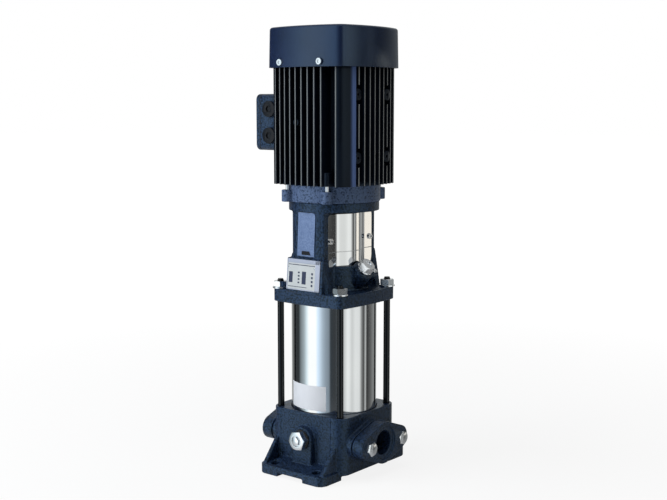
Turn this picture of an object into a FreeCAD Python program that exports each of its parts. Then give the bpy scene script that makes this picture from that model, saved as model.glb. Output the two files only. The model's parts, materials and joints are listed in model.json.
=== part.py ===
import FreeCAD, Part
import os
from math import atan2, cos, radians, sin, sqrt

# Vertical multistage pump with its motor. Millimetres, +Z up along the shaft.
# Origin: middle of the foot's underside. Ports lie along X, the drain plug faces -Y.

# Foot and base casting
foot_half_x = 56.0
foot_half_y = 96.0
foot_corner = 12.0
foot_thick = 13.0
foot_recess = 5.0
foot_pad_x = 34.0
foot_pad_y = 42.0
foot_slope = 5.0
foot_toe = 6.0
anchor_inset_x = 20.0
anchor_inset_y = 14.0
anchor_radius = 6.0
body_half = 63.0
body_corner = 19.0
body_face_step = 1.0
base_height = 85.0
pocket_half_x = 42.0
pocket_half_y = 50.0
pocket_height = 21.0
gusset_thick = 6.0
gusset_inset = 13.0
gusset_top = 48.0

# Ports and their oval flanges
port_height = 45.5
port_reach = 25.5
port_bore = 16.5
port_recess_radius = 23.0
port_recess_depth = 2.5
flange_ring_radius = 28.5
flange_ear_radius = 16.5
flange_bolt_offset = 35.0
flange_thick = 17.0
flange_gasket_thick = 1.5
base_flange_thick = 10.0
neck_radius = 25.0
neck_depth = 12.0
port_bolt_head = 6.5
port_bolt_bite = 7.0

# Flow passages in the base
passage_radius = 18.0
suction_radius = 24.0
suction_wall = 7.0
annulus_radius = 54.0
annulus_floor = 66.0
discharge_wall = 6.0
riser_half_width = 16.0

# Sleeve and its seals
sleeve_radius = 58.5
sleeve_wall = 1.5
sleeve_gap = 0.8
sleeve_seat_depth = 6.0
sleeve_seal_thick = 2.5
sleeve_seal_width = 4.0

# Stages
stage_count = 5
stage_pitch = 24.0
chamber_radius = 48.0
chamber_wall = 2.0
chamber_floor = 2.0
eye_radius = 19.0
diffuser_height = 13.5
diffuser_thick = 1.2
diffuser_radius = 41.0
vane_count = 6
vane_thick = 1.5
neck_ring_thick = 3.0
vane_lean = 25.0
inlet_height = 9.0
inlet_spigot = 13.0
spoke_thick = 3.0
spoke_count = 3
top_chamber_height = 20.0
top_window_height = 11.0
top_window_width = 16.0
top_window_count = 6
head_clearance = 4.5
strap_gap = 0.2
strap_thick = 1.5
strap_width = 12.0
strap_lip = 8.0
impeller_radius = 38.0
impeller_shroud = 1.2
impeller_gap = 1.5
impeller_channel = 5.0
impeller_hub_radius = 9.5
impeller_hub_rise = 1.5
impeller_skirt_low = 0.3
impeller_skirt_wall = 1.5
impeller_vanes = 6
impeller_vane_radius = 24.0

# Shafts
pump_shaft_radius = 6.0
pump_shaft_foot = 9.0
motor_shaft_radius = 9.5
bush_wall = 2.5
bush_length = 10.0

# Head plate and lantern, one casting
plate_half = 64.5
plate_face_radius = 420.0
plate_corner = 11.0
plate_thick = 17.5
dome_height = 34.0
dome_radius = 44.0
dome_wall = 8.0
seal_hole_radius = 22.0
lantern_height = 107.0
lantern_radius = 61.5
lantern_bore = 46.0
leg_half_width = 27.4
leg_panel_half = 16.5
leg_panel_depth = 3.5
window_corner = 3.0
ring_radius = 61.5
ring_thick = 12.5
leg_flare = 9.0
leg_flare_height = 50.0
leg_flare_face = 57.5

# Stay bolts
stay_offset = 52.0
stay_radius = 4.5
stay_chamfer = 1.1
stay_engagement = 20.0
stay_hole_extra = 3.0
stay_stub = 3.0
nut_flats = 17.0
nut_height = 8.0
nut_chamfer = 1.2
washer_radius = 10.8
washer_thick = 2.0

# Nameplate on its slanted seat
plate_seat_half = 31.0
plate_seat_height = 45.0
plate_seat_lean = 3.6
plate_seat_face = 61.6
nameplate_rise = 3.0
nameplate_left = 29.5
nameplate_right = 20.5
nameplate_length = 37.0
nameplate_thick = 0.8

# Plugs
drain_height = 50.0
drain_boss_half = 17.0
drain_boss_reach = 8.0
drain_radius = 10.4
drain_flats = 24.0
drain_head = 9.0
drain_engagement = 18.0
drain_passage_radius = 7.0
drain_gasket_thick = 2.0
drain_gasket_edge = 1.5
bypass_radius = 4.0
bypass_flats = 11.0
bypass_head = 4.0
bypass_length = 8.0
bypass_depth = 12.0
bypass_pocket = 2.0
bypass_pocket_room = 3.0
plug_tilt = 45.0
plug_start_x = 30.0
plug_rise = 7.0
plug_boss_length = 30.0
plug_boss_radius = 14.5
plug_radius = 9.0
plug_length = 16.0
plug_hole_start = 4.0
plug_flats = 19.0
plug_head = 9.0
plug_collar = 3.0
plug_collar_edge = 1.5
vent_offset = 20.0
vent_drop = 6.0
vent_boss_radius = 7.5
vent_radius = 3.0
vent_flats = 8.0
vent_head = 5.0

# Coupling and guards
coupling_radius = 21.0
coupling_rise = 10.0
coupling_length = 53.0
coupling_split = 1.6
coupling_screw_radius = 3.0
coupling_screw_offset = 14.5
coupling_screw_seat = 8.8
coupling_pin_radius = 2.5
coupling_pin_half = 10.0
shaft_end_gap = 1.0
guard_radius = 38.5
guard_sheet = 1.0
guard_bottom_gap = 0.3
guard_top_gap = 0.2
guard_flange_reach = 47.6
guard_relief = 1.5
guard_screw_y = 43.0
guard_screw_rise = 34.4
guard_screw_radius = 2.0
guard_screw_length = 7.0
guard_screw_hole = 9.0

# Shaft seal
seal_housing_radius = 33.0
seal_housing_flange = 5.0
seal_housing_depth = 14.0
seal_housing_bore = 7.5
housing_screw_radius = 2.0
housing_screw_bite = 3.0
seal_seat_radius = 14.0
seal_seat_bore = 7.0
seal_seat_thick = 6.0
seal_seat_rise = 2.0
seal_head_radius = 12.0
seal_head_length = 18.0
seal_ring_height = 5.0
seal_ring_step = 1.5

# Motor
shield_radius = 63.0
shield_height = 23.0
shield_wall = 9.0
shield_spigot = 3.0
shield_floor = 6.0
shaft_passage = 12.5
motor_bolt_radius = 3.0
motor_bolt_sink = 6.0
motor_bolt_head = 5.5
motor_bolt_bite = 8.0
lug_x = 34.0
lug_y = 57.2
lug_radius = 8.0
lug_height = 16.0
lug_screw_radius = 2.5
lug_screw_head = 4.6
lug_screw_sink = 5.0
lug_screw_bite = 14.0
lug_column = 5.5
lug_column_height = 18.0
stator_height = 154.5
stator_bore = 52.0
barrel_radius = 57.0
fin_face = 69.0
fin_face_radius = 176.0
fin_corner = 14.0
fin_pitch = 10.3
fin_thick = 2.6
fin_half_count = 5
fin_left_out = 4
corner_block_inner = 36.0
corner_block_left = 50.2
side_boss_fin = 3
side_boss_y = 31.5
side_boss_rise = 37.0
side_boss_step = 82.0
side_boss_radius = 7.5
side_boss_face = 65.5
side_boss_hole = 2.0
side_boss_room = 12.5
earth_boss_radius = 4.3
earth_boss_face = 67.5
earth_boss_rise = 82.7
core_radius = 51.8
core_bore = 31.0
core_height = 80.0
core_rise = 34.0
winding_height = 19.0
winding_wall = 12.0
winding_inset = 5.0
winding_chamfer = 4.0
rotor_gap = 0.5
rotor_bore = 14.0
rotor_overhang = 2.0
lower_bearing_bore = 10.0
lower_bearing_radius = 23.5
lower_bearing_width = 14.0
upper_bearing_bore = 8.5
upper_bearing_radius = 20.0
upper_bearing_width = 12.0
bearing_ring_wall = 3.0
bearing_lip = 2.0
bearing_land = 2.0
lower_seat_wall = 5.0
upper_seat_wall = 4.0
end_shield_bore = 11.5
end_shield_thick = 9.0
end_shield_ear = 12.0
end_shield_ear_depth = 18.0
fan_shaft_radius = 7.5
fan_shaft_inset = 2.0
fan_rise = 6.0
fan_height = 20.0
fan_radius = 60.0
fan_hub_radius = 14.0
fan_disc = 2.5
fan_blades = 7
fan_blade_thick = 2.5

# Fan cover
cover_face = 74.5
cover_face_radius = 176.0
cover_corner = 16.0
cover_height = 53.0
cover_draft = 1.1
cover_wall = 2.0
cover_edge = 4.0
cover_screw_x = 33.5
cover_screw_rise = 6.5
cover_screw_radius = 2.2
cover_screw_length = 9.0
grille_radius = 58.0
grille_hub = 14.0
grille_rings = 4
grille_web = 5.0
grille_land = 3.5
grille_spokes = 4

# Terminal box on the -X side
box_depth = 39.0
box_half_y = 38.0
box_rise = 43.5
box_height = 77.0
box_corner = 8.0
box_wall = 3.0
box_pad_reach = 70.0
box_pad_inset = 6.0
box_lid = 8.0
box_lid_edge = 2.0
box_lid_skin = 3.0
box_lid_land = 7.0
box_gasket = 1.0
box_screw_inset = 7.0
box_screw_radius = 2.0
box_screw_length = 15.0
box_post_radius = 4.5
wire_way_radius = 7.0
entry_clearance = 0.5
entry_inset = 20.5
entry_radius = 8.5
entry_cap_radius = 11.0
entry_cap = 4.0
entry_socket = 8.0
board_thick = 6.0
board_half = 22.0
terminal_radius = 2.5
terminal_length = 8.0
terminal_step_y = 16.0
terminal_step_z = 28.0

# Fits between pieces
thread_gap = 0.05
press_gap = 0.03
running_gap = 0.08
bolt_gap = 0.7
screw_gap = 0.3
fusion = 0.5

# Levels up the shaft, worked out from the sizes above
sleeve_seat = base_height - sleeve_seat_depth
sleeve_bottom = sleeve_seat + sleeve_seal_thick
first_stage = sleeve_seat + inlet_height
last_stage = first_stage + stage_count * stage_pitch
stack_top = last_stage + top_chamber_height
plate_bottom = stack_top + head_clearance
sleeve_top = plate_bottom + sleeve_seat_depth - sleeve_seal_thick
plate_top = plate_bottom + plate_thick
dome_top = plate_top + dome_height
ring_bottom = plate_top + lantern_height
ring_top = ring_bottom + ring_thick
stator_bottom = ring_top + shield_height
stator_top = stator_bottom + stator_height
cover_top = stator_top + cover_height
lower_bearing_z = ring_top + bearing_lip
upper_bearing_z = stator_top - upper_bearing_width / 2
shaft_foot = sleeve_seat - pump_shaft_foot
coupling_bottom = dome_top + coupling_rise
coupling_middle = coupling_bottom + coupling_length / 2
coupling_top = coupling_bottom + coupling_length
fan_bottom = stator_top + end_shield_thick + fan_rise

# Places that several pieces share
diagonals = [(1, 1), (-1, 1), (-1, -1), (1, -1)]
anchor_x = foot_half_x - anchor_inset_x
anchor_y = foot_half_y - anchor_inset_y
port_face = body_half + port_reach
drain_seat = -body_half - drain_boss_reach
impeller_low = chamber_floor + impeller_gap
impeller_top = impeller_low + 2 * impeller_shroud + impeller_channel
motor_bolt_spot = (lantern_bore + ring_radius) / 2 * cos(radians(45))
side_boss_z = (stator_bottom + side_boss_rise, stator_bottom + side_boss_rise + side_boss_step)
earth_boss_z = stator_bottom + earth_boss_rise
housing_screw_spot = (seal_hole_radius + seal_housing_radius) / 2 * cos(radians(45))
seal_face = dome_top + seal_seat_rise
coupling_pin_z = coupling_bottom + coupling_length / 4
coupling_screw_z = (coupling_pin_z, coupling_top - coupling_length / 4)
guard_screw_z = dome_top + guard_screw_rise
core_low = stator_bottom + core_rise
cover_screw_z = stator_top + cover_screw_rise
box_low = stator_bottom + box_rise
box_high = box_low + box_height
box_middle = (box_low + box_high) / 2
box_reach = box_pad_reach + box_depth
entry_x = box_pad_reach + box_wall + entry_radius + entry_clearance
entry_z =(box_low + entry_inset, box_high - entry_inset)


def vec(x, y, z):
    return FreeCAD.Vector(x, y, z)


def disc(radius, low, high, x=0.0, y=0.0):
    return Part.makeCylinder(radius, high - low, vec(x, y, low))


def ring(outer, inner, low, high):
    return disc(outer, low, high).cut(disc(inner, low - 1, high + 1))


def rod_x(radius, low, high, y, z):
    return Part.makeCylinder(radius, high - low, vec(low, y, z), vec(1, 0, 0))


def rod_y(radius, low, high, x, z):
    return Part.makeCylinder(radius, high - low, vec(x, low, z), vec(0, 1, 0))


def block(x0, x1, y0, y1, z0, z1):
    return Part.makeBox(x1 - x0, y1 - y0, z1 - z0, vec(x0, y0, z0))


def prism(points, along):
    """Closed outline of (x, y, z) points pushed along a vector."""
    corners = [vec(*p) for p in points]
    return Part.Face(Part.makePolygon(corners + corners[:1])).extrude(vec(*along))


def turned(profile):
    """Solid of revolution about Z from (radius, height) points."""
    corners = [vec(r, 0, z) for r, z in profile]
    face = Part.Face(Part.makePolygon(corners + corners[:1]))
    return face.revolve(vec(0, 0, 0), vec(0, 0, 1), 360)


def rounded_block(half_x, half_y, corner, low, high):
    solid = block(-half_x, half_x, -half_y, half_y, low, high)
    upright = [e for e in solid.Edges if abs(e.Vertexes[0].Z - e.Vertexes[1].Z) > 1e-6]
    return solid.makeFillet(corner, upright)


def bowed_outline(face, face_radius, corner, z):
    """Square outline with slightly convex sides and round corners."""
    back = face_radius - face
    reach = face_radius - corner
    middle = (sqrt(2 * reach * reach - back * back) - back) / 2
    turn = atan2(middle, middle + back)
    edge_x = face_radius * cos(turn) - back
    edge_y = face_radius * sin(turn)
    tip = middle + corner * cos(radians(45))
    edges = []
    for quarter in range(4):
        spin = FreeCAD.Rotation(vec(0, 0, 1), 90 * quarter)
        low, front, high, outer, after = [
            spin.multVec(p)
            for p in (
                vec(edge_x, -edge_y, z),
                vec(face, 0, z),
                vec(edge_x, edge_y, z),
                vec(tip, tip, z),
                vec(edge_y, edge_x, z),
            )
        ]
        edges.append(Part.Arc(low, front, high).toShape())
        edges.append(Part.Arc(high, outer, after).toShape())
    return Part.Wire(edges)


def bowed_block(face, face_radius, corner, low, high):
    outline = Part.Face(bowed_outline(face, face_radius, corner, low))
    return outline.extrude(vec(0, 0, high - low))


def hexagon(flats, low, high):
    radius = flats / sqrt(3)
    points = [(radius * cos(radians(60 * k)), radius * sin(radians(60 * k)), low) for k in range(6)]
    return prism(points, (0, 0, high - low))


def joined(shapes):
    first, *rest = shapes
    return first.multiFuse(rest).removeSplitter() if rest else first


def spun(shape, angle):
    return shape.rotated(vec(0, 0, 0), vec(0, 0, 1), angle)


def moved(shape, x, y, z):
    return shape.translated(vec(x, y, z))


def aimed(shape, start, direction):
    """Shape modelled along +Z from the origin, turned to a direction and moved to its start."""
    turn = FreeCAD.Rotation(vec(0, 0, 1), vec(*direction))
    return shape.transformed(FreeCAD.Placement(vec(*start), turn).toMatrix(), True)


def with_holes(shape, holes):
    return shape.cut(Part.makeCompound(holes))


def hex_screw(radius, length, flats, head):
    """Head on +Z above the seat at z = 0, shank down to -length."""
    return joined([hexagon(flats, 0, head), disc(radius, -length, fusion)])


def cap_screw(radius, length, head_radius, head):
    """Cap with a hexagon socket, laid out like the hexagon screw."""
    socket = hexagon(head_radius, head / 2, head + 1)
    return joined([disc(head_radius, 0, head), disc(radius, -length, fusion)]).cut(socket)


def at_corners(shape, x, y):
    return [moved(shape, x * sx, y * sy, 0) for sx, sy in diagonals]


def on_both_sides(shape, x, y, z):
    """Piece modelled along +Z, set against the +Y and -Y sides at two places along X."""
    return [aimed(shape, (x * along, y * side, z), (0, side, 0)) for side in (1, -1) for along in (1, -1)]


def oval(low, high, ear):
    """Oval flange blank along +X: middle ring hulled with its two ears."""
    ears = [rod_x(ear, low, high, side * flange_bolt_offset, port_height) for side in (1, -1)]
    lean = (flange_ring_radius - ear) / flange_bolt_offset
    tall = sqrt(1 - lean * lean)
    outline = []
    for up, side in ((1, 1), (1, -1), (-1, -1), (-1, 1)):
        near = (flange_ring_radius * lean * side, flange_ring_radius * tall * up)
        far = (flange_bolt_offset * side + ear * lean * side, ear * tall * up)
        outline += [far, near] if up * side > 0 else [near, far]
    points = [(low, y, port_height + z) for y, z in outline]
    web = prism(points, (high - low, 0, 0))
    return joined([rod_x(flange_ring_radius, low, high, 0, port_height), web] + ears)


def pump_base():
    port_joint = port_face - flange_thick - flange_gasket_thick
    wall = body_half - 2
    flat = body_half - body_corner
    side_pieces = []
    for side in (1, -1):
        toe = side * (foot_half_y - foot_toe)
        slope_top = foot_thick + foot_slope
        slope = [(-flat, side * wall, foot_thick), (-flat, toe, foot_thick), (-flat, side * wall, slope_top)]
        side_pieces.append(prism(slope, (2 * flat, 0, 0)))
        for x in (body_half - gusset_inset, gusset_inset - body_half):
            start = x - gusset_thick / 2
            rib = [(start, side * wall, foot_thick), (start, toe, foot_thick), (start, side * wall, gusset_top)]
            side_pieces.append(prism(rib, (gusset_thick, 0, 0)))
    port = joined(
        [
            oval(port_joint - base_flange_thick, port_joint, flange_ear_radius),
            rod_x(neck_radius, body_half - neck_depth, port_joint, 0, port_height),
        ]
    )
    casting = joined(
        [
            rounded_block(foot_half_x, foot_half_y, foot_corner, 0, foot_thick),
            rounded_block(body_half, body_half, body_corner, foot_thick / 2, base_height),
            port,
            spun(port, 180),
            drain_boss(drain_seat, -wall),
        ]
        + side_pieces
    )

    face = block(-flat, flat, body_half - body_face_step, body_half + 1, foot_thick + foot_slope, base_height + 1)
    inner_tube = suction_radius + suction_wall
    riser = block(0, body_half, -riser_half_width, riser_half_width, port_height, annulus_floor + 1)
    channel_x = foot_half_x - foot_pad_x
    channel_y = foot_half_y - foot_pad_y
    stay_hole_low = base_height - stay_engagement - stay_hole_extra
    hollows = [
        face,
        spun(face, 180).cut(drain_boss(drain_seat, -wall)),
        ring(annulus_radius, inner_tube, annulus_floor, base_height + 1),
        ring(annulus_radius, inner_tube, port_height, annulus_floor + 1).common(riser),
        disc(sleeve_radius + sleeve_gap, sleeve_seat, base_height + 1),
        disc(suction_radius, port_height - passage_radius, base_height + 1),
        rod_x(passage_radius, -port_face, 0, 0, port_height),
        rod_x(passage_radius, suction_radius + discharge_wall, port_face, 0, port_height),
        rod_y(drain_radius + thread_gap, drain_seat - 1, drain_seat + drain_engagement, 0, drain_height),
        rod_y(drain_passage_radius, drain_seat, 0, 0, drain_height),
        block(-channel_x, channel_x, -foot_half_y - 1, foot_half_y + 1, -1, foot_recess),
        block(-foot_half_x - 1, foot_half_x + 1, -channel_y, channel_y, -1, foot_recess),
        block(-pocket_half_x, pocket_half_x, -pocket_half_y, pocket_half_y, -1, pocket_height),
    ]
    hollows += at_corners(disc(stay_radius + thread_gap, stay_hole_low, base_height + 1), stay_offset, stay_offset)
    hollows += at_corners(disc(anchor_radius, -1, gusset_top), anchor_x, anchor_y)
    for y in (flange_bolt_offset, -flange_bolt_offset):
        low = body_half - port_bolt_bite - 2
        hole = rod_x(stay_radius + thread_gap, low, port_face, y, port_height)
        hollows += [hole, spun(hole, 180)]
    return with_holes(casting, hollows)


def drain_boss(low, high):
    """Arched boss that carries the drain plug, from the foot up."""
    arch = rod_y(drain_boss_half, low, high, 0, drain_height)
    return joined([arch, block(-drain_boss_half, drain_boss_half, low, high, foot_thick, drain_height)])


def port_flange():
    """Discharge side; the suction one is the same piece turned round."""
    inner = port_face - flange_thick
    blank = oval(inner, port_face, flange_ear_radius)
    holes = [
        rod_x(port_bore, inner - 1, port_face + 1, 0, port_height),
        rod_x(port_recess_radius, port_face - port_recess_depth, port_face + 1, 0, port_height),
    ]
    for y in (flange_bolt_offset, -flange_bolt_offset):
        holes.append(rod_x(stay_radius + bolt_gap, inner - 1, port_face + 1, y, port_height))
    return with_holes(blank, holes)


def flange_gaskets():
    outer = port_face - flange_thick
    inner = outer - flange_gasket_thick
    hole = rod_x(passage_radius, inner - 1, outer + 1, 0, port_height)
    gasket = rod_x(neck_radius - 1, inner, outer, 0, port_height).cut(hole)
    return [gasket, spun(gasket, 180)]


def flange_bolts():
    bolt = hex_screw(stay_radius, port_face - body_half + port_bolt_bite, nut_flats, port_bolt_head)
    bolts = []
    for side in (1, -1):
        for y in (flange_bolt_offset, -flange_bolt_offset):
            bolts.append(aimed(bolt, (side * port_face, y, port_height), (side, 0, 0)))
    return bolts


def drain_gasket():
    low = drain_seat - drain_gasket_thick
    outer = rod_y(drain_flats / 2 + drain_gasket_edge, low, drain_seat, 0, drain_height)
    return outer.cut(rod_y(drain_radius + thread_gap, low - 1, drain_seat + 1, 0, drain_height))


def drain_plug():
    """Plug with a hole down its middle for the bypass screw and a pocket round that screw's head."""
    length = drain_engagement + drain_gasket_thick - 1
    blank = hex_screw(drain_radius, length, drain_flats, drain_head)
    bore = disc(bypass_radius + running_gap, drain_head - bypass_depth, drain_head + 1)
    pocket = disc((bypass_flats + bypass_pocket_room) / 2, drain_head - bypass_pocket, drain_head + 1)
    start = (0, drain_seat - drain_gasket_thick, drain_height)
    return aimed(blank.cut(bore).cut(pocket), start, (0, -1, 0))


def bypass_screw():
    seat = drain_seat - drain_gasket_thick - drain_head + bypass_pocket
    screw = hex_screw(bypass_radius, bypass_length, bypass_flats, bypass_head)
    return aimed(screw, (0, seat - running_gap, drain_height), (0, -1, 0))


def outer_sleeve():
    return ring(sleeve_radius, sleeve_radius - sleeve_wall, sleeve_bottom, sleeve_top)


def sleeve_seals():
    seal = ring(sleeve_radius, sleeve_radius - sleeve_seal_width, 0, sleeve_seal_thick)
    return [moved(seal, 0, 0, sleeve_seat), moved(seal, 0, 0, sleeve_top)]


def inlet_guide():
    spigot = suction_radius - press_gap
    profile = [
        (eye_radius, sleeve_seat - inlet_spigot),
        (spigot, sleeve_seat - inlet_spigot),
        (spigot, sleeve_seat),
        (chamber_radius, sleeve_seat),
        (chamber_radius, first_stage),
        (chamber_radius - chamber_wall, first_stage),
        (chamber_radius - chamber_wall, sleeve_seat + chamber_floor),
        (eye_radius, sleeve_seat + chamber_floor),
    ]
    hub_low = sleeve_seat - bush_length
    hub = disc(pump_shaft_radius + bush_wall, hub_low, sleeve_seat)
    half = spoke_thick / 2
    spoke = block(0, spigot - 1, -half, half, hub_low, sleeve_seat - chamber_floor)
    spokes = [spun(spoke, 360 / spoke_count * k) for k in range(spoke_count)]
    casting = joined([turned(profile), hub] + spokes)
    return casting.cut(disc(pump_shaft_radius + running_gap, hub_low - 1, first_stage))


def stage_chambers():
    """Cups with a diffuser plate and its leaning vanes over each impeller."""
    wall_inner = chamber_radius - chamber_wall
    cup = turned(
        [
            (eye_radius, 0),
            (chamber_radius, 0),
            (chamber_radius, stage_pitch),
            (wall_inner, stage_pitch),
            (wall_inner, chamber_floor),
            (eye_radius, chamber_floor),
        ]
    )
    plate = ring(diffuser_radius, impeller_hub_radius + 1, diffuser_height, diffuser_height + diffuser_thick)
    half = vane_thick / 2
    vane = block(eye_radius, 2 * chamber_radius, -half, half, diffuser_height, stage_pitch - impeller_skirt_low)
    vane = vane.rotated(vec(eye_radius, 0, 0), vec(0, 0, 1), vane_lean)
    vane = vane.common(disc(wall_inner + fusion, 0, stage_pitch))
    chamber = joined([cup, plate] + [spun(vane, 360 / vane_count * k) for k in range(vane_count)])
    return [moved(chamber, 0, 0, first_stage + stage_pitch * k) for k in range(stage_count)]


def neck_rings():
    outer = eye_radius - press_gap
    skirt = eye_radius - neck_ring_thick
    neck = ring(outer, skirt + running_gap, 0, chamber_floor)
    return [moved(neck, 0, 0, first_stage + stage_pitch * k) for k in range(stage_count)]


def impeller():
    """Closed impeller: two shrouds, a hub, and vanes bent along arcs between them."""
    eye = eye_radius - neck_ring_thick
    low = impeller_low
    front = low + impeller_shroud
    back = front + impeller_channel
    top = impeller_top
    inner_eye = eye - impeller_skirt_wall
    front_plate = turned(
        [
            (inner_eye, impeller_skirt_low),
            (eye, impeller_skirt_low),
            (eye, low),
            (impeller_radius, low),
            (impeller_radius, front),
            (inner_eye, front),
        ]
    )
    bore = pump_shaft_radius + press_gap
    back_plate = turned(
        [
            (bore, low),
            (impeller_hub_radius, low),
            (impeller_hub_radius, back),
            (impeller_radius, back),
            (impeller_radius, top),
            (impeller_hub_radius, top),
            (impeller_hub_radius, top + impeller_hub_rise),
            (bore, top + impeller_hub_rise),
        ]
    )
    centre = impeller_radius / 2
    shell = disc(impeller_vane_radius, front - fusion, back + fusion, centre)
    shell = shell.cut(disc(impeller_vane_radius - vane_thick, front - 1, back + 1, centre))
    room = ring(impeller_radius - 1, inner_eye + 1, front - fusion, back + fusion)
    vane = shell.common(room).common(block(-impeller_radius, impeller_radius, 0, impeller_radius, 0, stage_pitch))
    vanes = [spun(vane, 360 / impeller_vanes * k) for k in range(impeller_vanes)]
    return joined([front_plate, back_plate] + vanes)


def impellers():
    wheel = impeller()
    return [moved(wheel, 0, 0, first_stage + stage_pitch * k) for k in range(stage_count)]


def impeller_spacers():
    """Sleeves that fill the shaft between one impeller's hub and the next."""
    low = impeller_top + impeller_hub_rise
    spacer = ring(impeller_hub_radius - 1, pump_shaft_radius + press_gap, low, stage_pitch + impeller_low)
    return [moved(spacer, 0, 0, first_stage + stage_pitch * k) for k in range(stage_count - 1)]


def shaft_nut():
    low = last_stage - stage_pitch + impeller_top + impeller_hub_rise
    high = low + nut_height
    return hexagon(nut_flats, low, high).cut(disc(pump_shaft_radius + press_gap, low - 1, high + 1))


def top_chamber():
    wall_inner = chamber_radius - chamber_wall
    shell = turned(
        [
            (eye_radius, last_stage),
            (chamber_radius, last_stage),
            (chamber_radius, stack_top),
            (eye_radius, stack_top),
            (eye_radius, stack_top - chamber_floor),
            (wall_inner, stack_top - chamber_floor),
            (wall_inner, last_stage + chamber_floor),
            (eye_radius, last_stage + chamber_floor),
        ]
    )
    middle = (last_stage + stack_top) / 2
    hub = disc(pump_shaft_radius + 2 * bush_wall, stack_top - bush_length, stack_top)
    half = spoke_thick / 2
    spoke = block(0, eye_radius + 1, -half, half, stack_top - spoke_thick, stack_top)
    spokes = [spun(spoke, 360 / spoke_count * k) for k in range(spoke_count)]
    window = block(
        wall_inner - 1,
        chamber_radius + 1,
        -top_window_width / 2,
        top_window_width / 2,
        middle - top_window_height / 2,
        middle + top_window_height / 2,
    )
    cuts = [spun(window, 360 / top_window_count * (k + 0.5)) for k in range(top_window_count)]
    cuts.append(disc(pump_shaft_radius + bush_wall, last_stage, stack_top + 1))
    return with_holes(joined([shell, hub] + spokes), cuts)


def shaft_bush():
    outer = pump_shaft_radius + bush_wall - press_gap
    return ring(outer, pump_shaft_radius + running_gap, stack_top - bush_length, stack_top)


def chamber_straps():
    outer = chamber_radius + strap_gap + strap_thick
    low = sleeve_seat - strap_thick
    high = stack_top + strap_thick
    half = strap_width / 2
    upright = block(chamber_radius + strap_gap, outer, -half, half, low, high)
    hook = block(chamber_radius - strap_lip, outer, -half, half, low, sleeve_seat)
    clip = block(chamber_radius - strap_lip, outer, -half, half, stack_top, high)
    strap = joined([upright, hook, clip])
    return [spun(strap, angle) for angle in (90, 270)]


def stay_bolts():
    high = plate_top + washer_thick + nut_height + stay_stub
    low = base_height - stay_engagement
    tip = stay_radius - stay_chamfer
    bolt = turned([(0, low), (stay_radius, low), (stay_radius, high - stay_chamfer), (tip, high), (0, high)])
    return at_corners(bolt, stay_offset, stay_offset)


def stay_washers():
    washer = ring(washer_radius, stay_radius + bolt_gap, plate_top, plate_top + washer_thick)
    return at_corners(washer, stay_offset, stay_offset)


def stay_nuts():
    """Hexagons whose upper corners are turned off."""
    low = plate_top + washer_thick
    high = low + nut_height
    corner = nut_flats / sqrt(3)
    crown = turned([(0, low), (corner, low), (corner, high - nut_chamfer), (nut_flats / 2, high), (0, high)])
    hole = disc(stay_radius + thread_gap, low - 1, high + 1)
    return at_corners(hexagon(nut_flats, low, high).common(crown).cut(hole), stay_offset, stay_offset)


def plug_axis():
    tilt = radians(plug_tilt)
    return (cos(tilt), 0, sin(tilt))


def plug_point(distance, y=0.0, drop=0.0):
    along = plug_axis()
    return (plug_start_x + distance * along[0], y, plate_top + plug_rise - drop + distance * along[2])


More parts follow.
